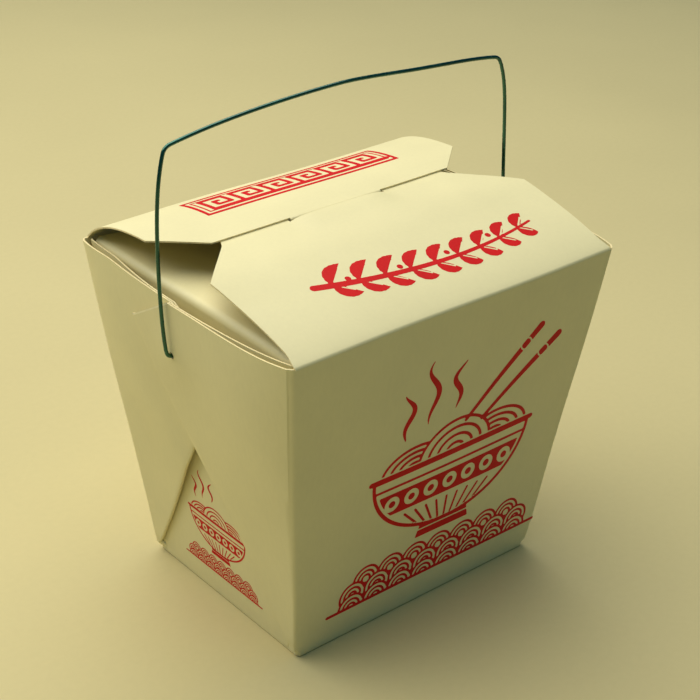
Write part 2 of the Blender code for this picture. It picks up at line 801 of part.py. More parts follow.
def bail_half():
    """The right half, from the hook's end to the middle of the grip: (x, height over the holes)."""
    hook_x = side_wall_x(HOLE_HEIGHT) - HALF_CARD - HOOK_INSET
    foot_x, shoulder_x = BAIL_FOOT_WIDTH / 2, BAIL_SHOULDER_WIDTH / 2
    corners = [(hook_x, HOOK_LENGTH), (hook_x, 0.0), (foot_x, 0.0)]
    for i in range(1, LEG_STEPS + 1):
        t = i / LEG_STEPS
        bow = BAIL_BOW * math.sin(math.pi * t**BAIL_BOW_SKEW)
        corners.append((mix(foot_x, shoulder_x, t) + bow, BAIL_SHOULDER_HEIGHT * t))
    shoulder = len(corners) - 1
    for i in range(1, GRIP_STEPS + 1):
        out = 1.0 - i / GRIP_STEPS
        rise = BAIL_ARCH * (1.0 - out**BAIL_ARCH_POWER)
        corners.append((shoulder_x * out, BAIL_SHOULDER_HEIGHT + rise))
    radii = {1: BAIL_FOOT_RADIUS, 2: BAIL_FOOT_RADIUS, shoulder: BAIL_BEND_RADIUS}
    path = []
    for i, corner in enumerate(corners):
        path += rounded(*corners[i - 1 : i + 2], radii[i]) if i in radii else [Vector(corner)]
    return path


def bail_curve():
    half = bail_half()
    path = [Vector((-p.x, p.y)) for p in half] + half[-2::-1]
    curve = bpy.data.curves.new("wire_bail", "CURVE")
    curve.dimensions = "3D"
    curve.bevel_depth = WIRE / 2
    curve.bevel_resolution = WIRE_SIDES_RESOLUTION
    curve.use_fill_caps = True
    spline = curve.splines.new("POLY")
    spline.points.add(len(path) - 1)
    for point, place in zip(spline.points, path):
        point.co = (place.x, 0.0, place.y, 1.0)
    return curve


# The scene


def clear_scene():
    for old in list(bpy.data.objects):
        bpy.data.objects.remove(old)


def material(name, colour, roughness, metallic):
    made = bpy.data.materials.new(name)
    made.use_nodes = True
    shader = made.node_tree.nodes["Principled BSDF"]
    shader.inputs["Base Color"].default_value = (*colour, 1.0)
    shader.inputs["Roughness"].default_value = roughness
    shader.inputs["Metallic"].default_value = metallic
    return made


def place(name, data, finish, location=(0.0, 0.0, 0.0)):
    made = bpy.data.objects.new(name, data)
    bpy.context.scene.collection.objects.link(made)
    data.materials.append(finish)
    made.location = location
    return made


def drill(target, height):
    """One cutter through both side walls and all the plies of their webs."""
    bm = bmesh.new()
    bmesh.ops.create_cone(
        bm, cap_ends=True, segments=HOLE_SIDES, radius1=HOLE / 2, radius2=HOLE / 2, depth=1.4 * TOP_LENGTH
    )
    cutter = place("bail_hole_cutter", finish_mesh(bm, "bail_hole_cutter"), target.data.materials[0])
    cutter.location = (0.0, 0.0, height)
    cutter.rotation_euler = (0.0, math.pi / 2, 0.0)
    cutter.hide_render = True
    cutter.display_type = "WIRE"
    holes = target.modifiers.new("bail_holes", "BOOLEAN")
    holes.operation = "DIFFERENCE"
    holes.solver = "EXACT"
    holes.object = cutter


def build():
    clear_scene()
    card = material("card", CARD_COLOUR, 0.6, 0.0)
    lid_card = material("lid_card", CARD_COLOUR, 0.6, 0.0)
    wire = material("wire", WIRE_COLOUR, 0.35, 0.8)
    carton = place("carton", carton_mesh(), card)
    drill(carton, HOLE_HEIGHT)
    lid = place("rear_lid_flap", lid_mesh(), lid_card, (0.0, hinge_y(), WALL_HEIGHT))
    for made in (carton, lid):
        made.data.shade_smooth()
        made.data.set_sharp_from_angle(angle=math.radians(35))
    bail = place("wire_bail", bail_curve(), wire, (0.0, 0.0, HOLE_HEIGHT))
    bail.rotation_euler = (-math.radians(BAIL_LEAN), 0.0, 0.0)


build()
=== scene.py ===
"""Looks for the takeout carton: creased card, printed panels and a bent wire.

Metres, +Z up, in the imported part's frame: the front wall faces -Y and the middle of the bottom is the
origin. The card's surfaces repeat the part's own, cut finer, and a slight warp takes their edges off
true. Ink lies on the card as thin closed sheets, cut out of fields of strokes. All the prints are
generic: bowls of noodles, waves, leaves and a key fret.
"""

import json
import math

import bmesh
import bpy
import numpy as np
from mathutils import Matrix, Vector


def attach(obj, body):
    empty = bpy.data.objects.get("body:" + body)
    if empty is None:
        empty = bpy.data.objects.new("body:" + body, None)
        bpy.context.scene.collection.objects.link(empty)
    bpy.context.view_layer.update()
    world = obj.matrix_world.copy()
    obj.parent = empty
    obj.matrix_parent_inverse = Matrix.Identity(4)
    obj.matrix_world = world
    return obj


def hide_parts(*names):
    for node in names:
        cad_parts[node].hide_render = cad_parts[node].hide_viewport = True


MM = 0.001

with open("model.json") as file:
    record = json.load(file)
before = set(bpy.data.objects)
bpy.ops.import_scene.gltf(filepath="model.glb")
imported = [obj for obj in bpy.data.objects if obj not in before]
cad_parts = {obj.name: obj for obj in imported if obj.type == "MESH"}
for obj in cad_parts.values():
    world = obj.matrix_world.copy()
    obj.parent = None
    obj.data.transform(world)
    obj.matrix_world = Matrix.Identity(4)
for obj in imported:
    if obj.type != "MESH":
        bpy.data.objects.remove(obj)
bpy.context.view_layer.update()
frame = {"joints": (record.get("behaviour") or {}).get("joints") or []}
JOINTS = {joint["name"]: joint for joint in frame["joints"]}
HINGE = Vector(JOINTS["rear_lid_hinge"]["pos_m"])
HOLES = Vector(JOINTS["bail_swing"]["pos_m"])

# The sheet, as in the part
CARD = 0.45 * MM
HALF_CARD = CARD / 2
BASE_LENGTH = 89.3 * MM
BASE_DEPTH = 69.2 * MM
TOP_LENGTH = 116.4 * MM
TOP_DEPTH = 2 * HINGE.y
WALL_HEIGHT = HINGE.z

# Folds
BASE_FOLD_RADIUS = 0.8 * MM
BASE_CORNER_RADIUS = 1.4 * MM
BASE_CORNER_HEIGHT = BASE_FOLD_RADIUS + 0.1 * MM
CORNER_RADIUS_LOW = 0.7 * MM
CORNER_RADIUS_HIGH = 1.2 * MM
FLAP_FOLD_RADIUS = 0.8 * MM

# Bellows corners
PLY_PITCH = 0.6 * MM
WEB_DEPTH_LOW = 1.2 * MM
WEB_DEPTH_HIGH = 2.9 * MM
WEB_CLOSED_SHARE = 0.58
WEB_BULGE = 4.0 * MM
WEB_BULGE_HEIGHT = 90.0 * MM
WEB_BULGE_POWER = 3.5
WEB_BULGE_FRONT_SHAPE = 5.0
WEB_BULGE_REAR_SHAPE = 2.0
WEB_START_HEIGHT = 5.0 * MM
WEB_START_END_RUN = 1.0 * MM
WEB_START_SIDE_RUN = 3.0 * MM
WEB_START_CRUSH = 0.22
CRUSH_ABOVE_FOLD = 0.2
CRUSH_BELOW_WEB = 0.125
WEB_CUT_START = 0.0 * MM
WEB_LAP_START = 4.0 * MM
WEB_LAP_LENGTH = 14.0 * MM
PLY_TURN_INSET = 1.0 * MM
PLY_TURN_SHARE = 0.6

# Dust flaps
DUST_FLAP_LENGTH = 34.0 * MM
DUST_FLAP_FOLD_RADIUS = 1.8 * MM
DUST_FLAP_DROP = 0.3 * MM
DUST_FLAP_END_WIDTH = 56.0 * MM
DUST_FLAP_START_SLOPE = -2.0
DUST_FLAP_END_SLOPE = -7.0
DUST_FLAP_TAPER_POWER = 2.2

# Front flap
FRONT_FLAP_START_WIDTH = 111.6 * MM
FRONT_FLAP_WIDTH = 113.4 * MM
FRONT_FLAP_SPREAD_LENGTH = 5.0 * MM
FRONT_FLAP_SHOULDER_Y = -12.7 * MM
FRONT_FLAP_NOSE_WIDTH = 82.0 * MM
FRONT_FLAP_END_WIDTH = 70.0 * MM
FRONT_FLAP_OVERLAP = 12.0 * MM
FRONT_FLAP_START_SLOPE = 25.0
FRONT_FLAP_MIDDLE_SLOPE = 10.0
FRONT_FLAP_END_SLOPE = -1.3
FRONT_FLAP_SETTLE = 12.0 * MM
FRONT_FLAP_CROWN_START = 30.0 * MM
FRONT_FLAP_CROWN_LENGTH = 16.0 * MM
LIP_RAISE = 0.95 * MM
LIP_REACH = 14.0 * MM
LIP_ARCH_POWER = 6
NOSE_RAISE = 0.2 * MM
NOSE_RAISE_REACH = 9.0 * MM

# Rear flap and its tongue
LID_WIDTH = 112.6 * MM
LID_HINGE_WIDTH = 112.2 * MM
LID_SPREAD_DEPTH = 4.0 * MM
LID_SHOULDER_DEPTH = 30.7 * MM
LID_NOSE_WIDTH = 85.6 * MM
LID_DEPTH = 42.7 * MM
LID_START = HALF_CARD
CREASE_OVERLAP = 0.2 * HALF_CARD
LID_START_SLOPE = 50.0
LID_END_SLOPE = -3.5
LID_SETTLE = 14.8 * MM
TONGUE_WIDTH = 32.4 * MM
TONGUE_TIP_WIDTH = 26.0 * MM
TONGUE_LENGTH = 10.0 * MM
TONGUE_TAPER_POWER = 3.0
TONGUE_BEND_RADIUS = 0.6 * MM
SLIT_CLEARANCE = 0.35 * MM
SLIT_END_CLEARANCE = 0.8 * MM
SLIT_HALF_WIDTH = TONGUE_WIDTH / 2 + SLIT_END_CLEARANCE

# Wire bail
WIRE = 1.12 * MM
HOLE = 2.0 * MM
BAIL_FOOT_WIDTH = 124.0 * MM
LEFT_LEG_BOW = 1.1 * MM
LEFT_LEG_SKEW = 0.6
LEFT_LEG_POWER = 6.0
RIGHT_LEG_BOW = -0.15 * MM
RIGHT_LEG_SKEW = 1.0
RIGHT_LEG_POWER = 10.0
LEFT_GRIP_SAG = 0.25 * MM
RIGHT_GRIP_SAG = 1.2 * MM
GRIP_SAG_POWER = 1.5
BAIL_SHOULDER_WIDTH = 117.4 * MM
BAIL_SHOULDER_HEIGHT = 58.1 * MM
BAIL_ARCH = 4.7 * MM
BAIL_ARCH_POWER = 2.5
BAIL_BEND_RADIUS = 3.0 * MM
BAIL_FOOT_RADIUS = 1.6 * MM
HOOK_INSET = 2.0 * MM
HOOK_LENGTH = 5.5 * MM
BAIL_LEAN = 3.0

# How finely the curves are cut
CORNER_STEPS = 6
TURN_STEPS = 4
WEB_RIM_STEPS = 16
WEB_CUT_STEPS = 8
SIDE_STEPS = 24
INNER_STEPS = 8
OUTER_STEPS = 10
BASE_FOLD_STEPS = 5
FOLD_STEPS = 8
WEB_START_STEPS = 8
WALL_STEPS = 44
FLAP_STEPS = 24
NOSE_STEPS = 14
SPREAD_STEPS = 5
DUST_FLAP_STEPS = 24
TONGUE_STEPS = 10
CREASE_STEPS = 40
CREASE_SIDES = 12
HOLE_SIDES = 32
LEG_STEPS = 24
GRIP_STEPS = 16
BEND_STEPS = 12
WIRE_SIDES_RESOLUTION = 6
STRIDE = 0.2 * MM
SHARPEST_MITRE = 0.35
SHARP_ANGLE = 35.0

# How much longer a line or a drill is made than what it has to reach
SPARE = 1.4

# The band along a cut edge that takes the lighter material: rubbed coating, and a painted highlight along
# the edge
HIGHLIGHT_BAND = 0.4 * MM

# Ink
INK_GAP = 0.014 * MM
INK_THICKNESS = 0.016 * MM
WALL_PRINT_CELL = 0.4
SIDE_PRINT_CELL = 0.22
FLAP_PRINT_CELL = 0.32
CROSSING_MARGIN = 0.08
FAR = 99.0

# How far the card is out of true, and where the lid's right corner rides up
WARP = 0.22 * MM
WARP_START_HEIGHT = 22.0 * MM
TOP_WARP_START = 70.0 * MM
TOP_WARP_RISE = 40.0 * MM
LIFT = 0.35 * MM
LIFT_PLACE = Vector((42.0 * MM, 1.0 * MM))
LIFT_REACH = 15.0 * MM

# Where the wire moves the card: out round its holes, in at the rim under the right leg, and in at the
# rear wall under the lowered grip. The side walls and the rear wall take part from their starts on.
HOLE_BULGE = 0.65 * MM
HOLE_BULGE_REACH = 8.0 * MM
RIM_DENT = 0.5 * MM
RIM_DENT_HEIGHT = 102.5 * MM
RIM_DENT_REACH = 8.0 * MM
SIDE_START = 30.0 * MM
SIDE_RISE = 20.0 * MM
REAR_HOLLOW = 0.8 * MM
REAR_HOLLOW_LEFT = 0.4
REAR_HOLLOW_RUN = 120.0 * MM
REAR_HOLLOW_HEIGHT = 46.0 * MM
REAR_HOLLOW_REACH = 16.0 * MM
REAR_START = 20.0 * MM
REAR_RISE = 15.0 * MM

# The photograph's view
CAMERA_AZIMUTH = -40.225
CAMERA_ELEVATION = 28.632
CAMERA_ROLL = 1.178
CAMERA_DISTANCE = 532.4 * MM
CAMERA_TARGET = Vector((24.59 * MM, 27.19 * MM, 49.92 * MM))
SENSOR = 36.0
LENS = 86.1

# Floor and light
FLOOR_REACH = 3.0
LAMP_PLACE = Vector((-0.20, 0.22, 0.92))
LAMP_AIM = Vector((-0.25, -0.45, 0.0))
LAMP_SIZE = 1.6
LAMP_POWER = 16.4
LAMP_COLOUR = (1.0, 0.96, 0.90)
ROOM_COLOUR = (0.25, 0.77, 1.25, 1.0)
ROOM_STRENGTH = 0.14


def mix(a, b, t):
    return a + (b - a) * t


def add_object(name, data):
    made = bpy.data.objects.new(name, data)
    bpy.context.scene.collection.objects.link(made)
    return made


def smooth(t):
    """A step from 0 to 1 with level ends."""
    t = min(1.0, max(0.0, t))
    return t * t * (3.0 - 2.0 * t)


# Sizes of the walls at a height


def share(z):
    return z / WALL_HEIGHT


def end_wall_y(z):
    """The front and rear walls' distance from the middle."""
    return mix(BASE_DEPTH, TOP_DEPTH, share(z)) / 2 - HALF_CARD


def side_wall_x(z):
    """The side walls' distance from the middle, inside the webs."""
    top = TOP_LENGTH - 2 * WEB_DEPTH_HIGH
    return mix(BASE_LENGTH, top, share(z)) / 2 - HALF_CARD


def web_depth(z):
    """How far a web's outer ply starts outside the side wall, at its corner."""
    return mix(WEB_DEPTH_LOW, WEB_DEPTH_HIGH, share(z))


def ply_gap(fraction, z):
    """From one ply of a web to the other: they lie close at the crease and part to the corner."""
    at_corner = web_depth(z) - PLY_PITCH
    return mix(at_corner, PLY_PITCH, smooth(fraction / WEB_CLOSED_SHARE))


def corner_radius(z):
    return mix(CORNER_RADIUS_LOW, CORNER_RADIUS_HIGH, share(z))


def web_slope():
    """How far a web's crease runs along the side wall for each unit of height."""
    side_run = (TOP_LENGTH - BASE_LENGTH) / 2
    end_run = (TOP_DEPTH - BASE_DEPTH) / 2
    side_slant = math.hypot(WALL_HEIGHT, side_run)
    end_slant = math.hypot(WALL_HEIGHT, end_run)
    end_taper = math.atan2(side_run, end_slant)
    side_taper = math.atan2(end_run, side_slant)
    crease = (math.pi / 2 - end_taper - side_taper) / 2 - side_taper
    return math.tan(crease) * side_slant / WALL_HEIGHT


WEB_SLOPE = web_slope()

# Where the walls end: the rear wall runs up into the crease, which the part leaves open
DUST_FOLD_START = WALL_HEIGHT - DUST_FLAP_DROP - DUST_FLAP_FOLD_RADIUS
FRONT_FOLD_START = WALL_HEIGHT - FLAP_FOLD_RADIUS
REAR_WALL_TOP = WALL_HEIGHT - CREASE_OVERLAP


def crease_y(z):
    return WEB_SLOPE * z - BASE_DEPTH / 2


def web_reach(z):
    return crease_y(z) + end_wall_y(z)


def outer_ply(y, z):
    """How far the outermost ply lies outside the side wall."""
    swell = math.sin(math.pi / 2 * z / WEB_BULGE_HEIGHT) ** WEB_BULGE_POWER
    shape = WEB_BULGE_FRONT_SHAPE if y < 0.0 else WEB_BULGE_REAR_SHAPE
    across = 1.0 - abs(y / end_wall_y(z)) ** shape
    return web_depth(z) + WEB_BULGE * swell * max(0.0, across)


def under_web(y, z):
    """How much lower the rear web's outer ply lies, where the front web covers it."""
    cover = ply_gap((y + end_wall_y(z)) / web_reach(z), z) + PLY_PITCH
    beyond = y - crease_y(z) - WEB_LAP_START
    return cover * (1.0 - smooth(beyond / WEB_LAP_LENGTH))


def web_fractions():
    """Columns across a web, from its corner to its crease, with one where the cut begins."""
    start = (WEB_CUT_START + end_wall_y(WALL_HEIGHT)) / web_reach(WALL_HEIGHT)
    rim = [start * i / WEB_RIM_STEPS for i in range(WEB_RIM_STEPS)]
    cut = [mix(start, 1.0, i / WEB_CUT_STEPS) for i in range(WEB_CUT_STEPS + 1)]
    return rim + cut


WEB_FRACTIONS = web_fractions()


def web_top(fraction):
    """The web's upper edge: level with the rim, then cut square across its crease."""

    def over(z):
        y = mix(-end_wall_y(z), crease_y(z), fraction)
        return z - WALL_HEIGHT + WEB_SLOPE * (y - WEB_CUT_START)

    low, high = over(0.0), over(WALL_HEIGHT)
    return WALL_HEIGHT if high <= 0.0 else WALL_HEIGHT * low / (low - high)


# One corner's section, as (distance from the end wall, distance outside the side wall)


def folded_corner(z, front):
    """From the end wall round the corner, out along the outer ply and back along the inner one."""
    radius = corner_radius(z)
    reach = web_reach(z)
    turn = PLY_PITCH / 2
    inset = PLY_TURN_INSET + PLY_TURN_SHARE * radius

    def outer(p):
        y = p - end_wall_y(z)
        if front:
            return outer_ply(y, z)
        return outer_ply(-y, z) - under_web(-y, z)

    middle = web_depth(z) - radius
    points = []
    for i in range(CORNER_STEPS):
        angle = math.pi / 2 * i / CORNER_STEPS
        points.append((radius * (1 - math.cos(angle)), middle + radius * math.sin(angle)))
    for f in WEB_FRACTIONS:
        p = mix(radius, reach - turn, f)
        points.append((p, outer(p)))
    p, o = points[-1]
    for i in range(1, TURN_STEPS):
        angle = math.pi * i / TURN_STEPS
        points.append((p + turn * math.sin(angle), o - turn + turn * math.cos(angle)))
    for f in reversed(WEB_FRACTIONS):
        p = mix(inset, reach - turn, f)
        points.append((p, outer(p) - ply_gap(f, z)))
    half = points[-1][1] / 2
    for i in range(1, TURN_STEPS + 1):
        angle = math.pi * i / TURN_STEPS
        points.append((inset - half * math.sin(angle), half * (1 + math.cos(angle))))
    return points


def plain_corner(count):
    """The same columns where the web has died out: spread evenly round a plain corner."""
    radius = BASE_CORNER_RADIUS
    before, after = WEB_START_END_RUN, WEB_START_SIDE_RUN
    bend = math.pi / 2 * radius
    total = before + bend + after
    points = []
    for i in range(count):
        s = total * i / (count - 1)
        if s < before:
            points.append((0.0, s - before - radius))
        elif s > before + bend:
            points.append((radius + s - before - bend, 0.0))
        else:
            angle = (s - before) / radius
            points.append((radius * (1 - math.cos(angle)), radius * (math.sin(angle) - 1)))
    return points


def corner_section(z, front):
    """Near the bottom the web first swells out of the corner, and above that it folds back."""
    folded = folded_corner(max(z, WEB_START_HEIGHT), front)
    if z >= WEB_START_HEIGHT:
        return folded
    plain = plain_corner(len(folded))
    swell, fold = smooth(2 * web_start(z)), smooth(2 * web_start(z) - 1)
    crease = CORNER_STEPS + len(WEB_FRACTIONS) - 1
    spread = plain[crease][0] / folded[crease][0]
    points = []
    for i, (flat, bent) in enumerate(zip(plain, folded)):
        if i <= crease:
            swollen = (bent[0] * spread, bent[1])
        else:
            fall = (i - crease) / (len(folded) - 1 - crease)
            swollen = (flat[0], mix(folded[crease][1], 0.0, fall))
        at_start = (mix(flat[0], swollen[0], swell), mix(flat[1], swollen[1], swell))
        points.append((mix(at_start[0], bent[0], fold), mix(at_start[1], bent[1], fold)))
    return points


def web_start(z):
    """From 0 where the corner is plain to 1 where the web is folded flat."""
    return (z - BASE_CORNER_HEIGHT) / (WEB_START_HEIGHT - BASE_CORNER_HEIGHT)


def crushed(z):
    """The share of its thickness that the card keeps in a corner: its folds crush it at the start."""
    t = web_start(z)
    fade = smooth(t / CRUSH_ABOVE_FOLD) if t < 0.5 else smooth((1.0 - t) / CRUSH_BELOW_WEB)
    return mix(1.0, WEB_START_CRUSH, fade)


def corner_tops():
    """The height at which each column of a corner's section ends."""
    tops = [WALL_HEIGHT] * CORNER_STEPS
    web = [web_top(f) for f in WEB_FRACTIONS]
    tops += web + [web[-1]] * (TURN_STEPS - 1) + web[::-1]
    return tops + [DUST_FOLD_START] * TURN_STEPS


# Columns of the front wall and of the lid


def column_x(step, inner, outer):
    """Column 0 is the middle, one at INNER_STEPS is at inner and the last is at outer."""
    size = abs(step)
    if size <= INNER_STEPS:
        x = inner * size / INNER_STEPS
    else:
        x = mix(inner, outer, (size - INNER_STEPS) / OUTER_STEPS)
    return math.copysign(x, step)


HALF_COLUMNS = INNER_STEPS + OUTER_STEPS
FLAP_COLUMNS = range(-HALF_COLUMNS, HALF_COLUMNS + 1)
INNER_SEGMENTS = range(OUTER_STEPS, OUTER_STEPS + 2 * INNER_STEPS)


def section(z):
    """The whole section at a height: points (x, y), anticlockwise from the front wall's left end."""
    corners = [corner_section(z, front) for front in (True, False)]
    y_end = end_wall_y(z)
    x_side = side_wall_x(z)

    def placed(side, end, corner):
        return [(side * (x_side + o), end * (y_end - p)) for p, o in corner]

    half = x_side + corners[0][0][1]
    points = [(column_x(c, SLIT_HALF_WIDTH, half), -y_end) for c in FLAP_COLUMNS][:-1]
    points += placed(1, -1, corners[0])
    points += side_run(points[-1], placed(1, 1, corners[1])[-1])
    points += placed(1, 1, corners[1])[::-1]
    points += [(-column_x(c, SLIT_HALF_WIDTH, half), y_end) for c in FLAP_COLUMNS][1:-1]
    points += placed(-1, 1, corners[1])
    points += side_run(points[-1], placed(-1, -1, corners[0])[-1])
    points += placed(-1, -1, corners[0])[::-1][:-1]
    return points


def side_run(start, end):
    steps = [i / SIDE_STEPS for i in range(1, SIDE_STEPS)]
    return [(mix(start[0], end[0], t), mix(start[1], end[1], t)) for t in steps]


def section_tops():
    corner = corner_tops()
    side = [DUST_FOLD_START] * (SIDE_STEPS - 1)
    wall = len(FLAP_COLUMNS)
    tops = [FRONT_FOLD_START] * wall + corner[1:] + side
    tops += corner[::-1][:-1] + [REAR_WALL_TOP] * wall + corner[1:] + side
    return tops + corner[::-1][:-1]


def section_thickness(z):
    """The share of its thickness that the card keeps at each column of the section."""
    corner = [crushed(z)] * (len(corner_tops()) - 2)
    side = [1.0] * (SIDE_STEPS + 1)
    wall = [1.0] * (len(FLAP_COLUMNS) - 2)
    half = wall + [1.0] + corner + side + corner + [1.0]
    return [1.0] + half + half[:-1]


def outward(points):
    """For each point of a closed outline, the step that moves both lines at it out by one unit."""
    here = np.array(points)
    before = here - np.roll(here, 1, axis=0)
    before /= np.linalg.norm(before, axis=1, keepdims=True)
    after = np.roll(before, -1, axis=0)
    total = before + after
    normal = np.stack([total[:, 1], -total[:, 0]], axis=1)
    normal /= np.linalg.norm(normal, axis=1, keepdims=True)
    lean = normal[:, 0] * before[:, 1] - normal[:, 1] * before[:, 0]
    return normal / np.maximum(SHARPEST_MITRE, lean)[:, None]


# Sheets: a row is a pair of lists, the outer skin's vertices and the inner skin's. Each face takes one of
# the sheet's three materials, by its number.
# The third material is the card painted lighter along folds and cut edges: rubbed coating and a painted
# highlight.
FACE, CUT_EDGE, RUBBED_HIGHLIGHT = range(3)


def add_row(bm, middles, offsets):
    outer = [bm.verts.new(m + o) for m, o in zip(middles, offsets)]
    inner = [bm.verts.new(m - o) for m, o in zip(middles, offsets)]
    return outer, inner


def part_of(row, start, count):
    """Some columns of a row, counted round past its end."""
    size = len(row[0])
    return tuple([skin[(start + i) % size] for i in range(count)] for skin in row)


def join_rows(bm, low, high, segments, closed=False, rubbed_highlight=()):
    size = len(low[0])
    for i in segments:
        j = (i + 1) % size if closed else i + 1
        for a, b in zip(low, high):
            # Segments in this set take the lighter material: a painted highlight over rubbed coating
            bm.faces.new((a[i], a[j], b[j], b[i])).material_index = RUBBED_HIGHLIGHT if i in rubbed_highlight else FACE


def close_edge(bm, row, segments, closed=False):
    """The cut edge of the card along a row."""
    size = len(row[0])
    for i in segments:
        j = (i + 1) % size if closed else i + 1
        bm.faces.new((row[0][i], row[0][j], row[1][j], row[1][i])).material_index = CUT_EDGE


def close_ends(bm, rows, column):
    """The cut edge of the card along a column."""
    for low, high in zip(rows, rows[1:]):
        ends = (low[0][column], high[0][column], high[1][column], low[1][column])
        bm.faces.new(ends).material_index = CUT_EDGE


def join_flap(bm, rows):
    """A flap's rows joined up, with the cut edges along both its sides."""
    every = range(len(rows[0][0]) - 1)
    for low, high in zip(rows, rows[1:]):
        join_rows(bm, low, high, every)
    close_ends(bm, rows, 0)
    close_ends(bm, rows, -1)
    return every


def finish_mesh(bm, name):
    bmesh.ops.recalc_face_normals(bm, faces=bm.faces)
    mesh = bpy.data.meshes.new(name)
    bm.to_mesh(mesh)
    bm.free()
    return mesh


# Side views of the flaps: (distance, inward, up, heading) at each stride. The way in is 1 for the
# front flap, which runs along +Y, and -1 for the rear flap.


def strip(heading, length, start):
    steps = max(2, round(length / STRIDE))
    stride = length / steps
    s, inward, up = 0.0, start[0], start[1]
    points = [(s, inward, up, heading(0.0))]
    for _ in range(steps):
        angle = heading(s + stride / 2)
        s += stride
        inward += stride * math.cos(angle)
        up += stride * math.sin(angle)
        points.append((s, inward, up, heading(s)))
    return points


def along(points, value, key):
    """The strip's point where its value number key reaches a value."""
    for a, b in zip(points, points[1:]):
        if b[key] >= value:
            t = (value - a[key]) / (b[key] - a[key])
            return tuple(mix(p, q, t) for p, q in zip(a, b))
    return points[-1]


def flap_normal(heading, way_in):
    return Vector((0.0, -way_in * math.sin(heading), math.cos(heading)))


def lid_heading(s):
    slope = LID_END_SLOPE + (LID_START_SLOPE - LID_END_SLOPE) * math.exp(-s / LID_SETTLE)
    return math.radians(slope)


LID_STRIP = strip(lid_heading, SPARE * LID_DEPTH, (LID_START, 0.0))


def tongue_bend():
    """The lid's point where the tongue turns down, and the radius of the tongue's path."""
    _, inward, up, heading = along(LID_STRIP, LID_DEPTH, 1)
    turn = Vector((inward, up)) + TONGUE_BEND_RADIUS * Vector((math.sin(heading), -math.cos(heading)))
    return turn, turn.length + TONGUE_BEND_RADIUS, heading


def slit_y(up, side):
    """Where a circle round the hinge, one side or the other of the tongue, is at a height."""
    _, radius, _ = tongue_bend()
    reach = radius + side * (HALF_CARD + SLIT_CLEARANCE)
    return HINGE.y - math.sqrt(reach**2 - (up - WALL_HEIGHT) ** 2)


END_TAPER = math.atan2((TOP_DEPTH - BASE_DEPTH) / 2, WALL_HEIGHT)
SIDE_TAPER = math.atan2(side_wall_x(WALL_HEIGHT) - side_wall_x(0.0), WALL_HEIGHT)


def fold_heading(wall, radius, after):
    """A fold from a wall into a flap, whose own headings follow."""
    start = after(0.0)
    bend = radius * (wall - start)
    return lambda s: wall - s / radius if s < bend else after(s - bend), bend


def front_flap_heading(s):
    settle = math.exp(-s / FRONT_FLAP_SETTLE)
    slope = mix(FRONT_FLAP_MIDDLE_SLOPE, FRONT_FLAP_START_SLOPE, settle)
    crown = smooth((s - FRONT_FLAP_CROWN_START) / FRONT_FLAP_CROWN_LENGTH)
    return math.radians(mix(slope, FRONT_FLAP_END_SLOPE, crown))


def dust_flap_heading(s):
    return math.radians(mix(DUST_FLAP_START_SLOPE, DUST_FLAP_END_SLOPE, s / DUST_FLAP_LENGTH))


def front_flap_side():
    tilt = math.pi / 2 + END_TAPER
    heading, bend = fold_heading(tilt, FLAP_FOLD_RADIUS, front_flap_heading)
    start = (-end_wall_y(FRONT_FOLD_START), FRONT_FOLD_START)
    return strip(heading, TOP_DEPTH, start), bend


FRONT_STRIP, FRONT_BEND = front_flap_side()
SLIT_LIP = slit_y(along(FRONT_STRIP, slit_y(WALL_HEIGHT, 1), 1)[2] - HALF_CARD, 1)
SLIT_BACK = slit_y(along(FRONT_STRIP, slit_y(WALL_HEIGHT, -1), 1)[2] + HALF_CARD, -1)


def front_flap_width(y):
    """Half the front flap's width at a place along it."""
    fold = -end_wall_y(WALL_HEIGHT)
    nose = slit_y(WALL_HEIGHT, 1)
    end = nose + FRONT_FLAP_OVERLAP
    if y < FRONT_FLAP_SHOULDER_Y:
        at_fold = side_wall_x(WALL_HEIGHT) + WEB_DEPTH_HIGH - CORNER_RADIUS_HIGH
        start = mix(at_fold, FRONT_FLAP_START_WIDTH / 2, smooth((y - fold) / FRONT_FLAP_SPREAD_LENGTH))
        return mix(start, FRONT_FLAP_WIDTH / 2, (y - fold) / (FRONT_FLAP_SHOULDER_Y - fold))
    if y < nose:
        t = (y - FRONT_FLAP_SHOULDER_Y) / (nose - FRONT_FLAP_SHOULDER_Y)
        return mix(FRONT_FLAP_WIDTH, FRONT_FLAP_NOSE_WIDTH, t) / 2
    t = (y - nose) / (end - nose)
    return mix(FRONT_FLAP_NOSE_WIDTH, FRONT_FLAP_END_WIDTH, t) / 2


def lip_raise(x, y):
    """The front flap's lip rises where the tongue holds it up, and lies close under the lid beside it."""
    nose = NOSE_RAISE * smooth((y - SLIT_LIP + NOSE_RAISE_REACH) / NOSE_RAISE_REACH)
    if y > SLIT_LIP + HALF_CARD:
        return nose
    arch = max(0.0, 1.0 - (x / SLIT_HALF_WIDTH) ** LIP_ARCH_POWER)
    return nose + LIP_RAISE * arch * smooth((y - SLIT_LIP + LIP_REACH) / LIP_REACH)


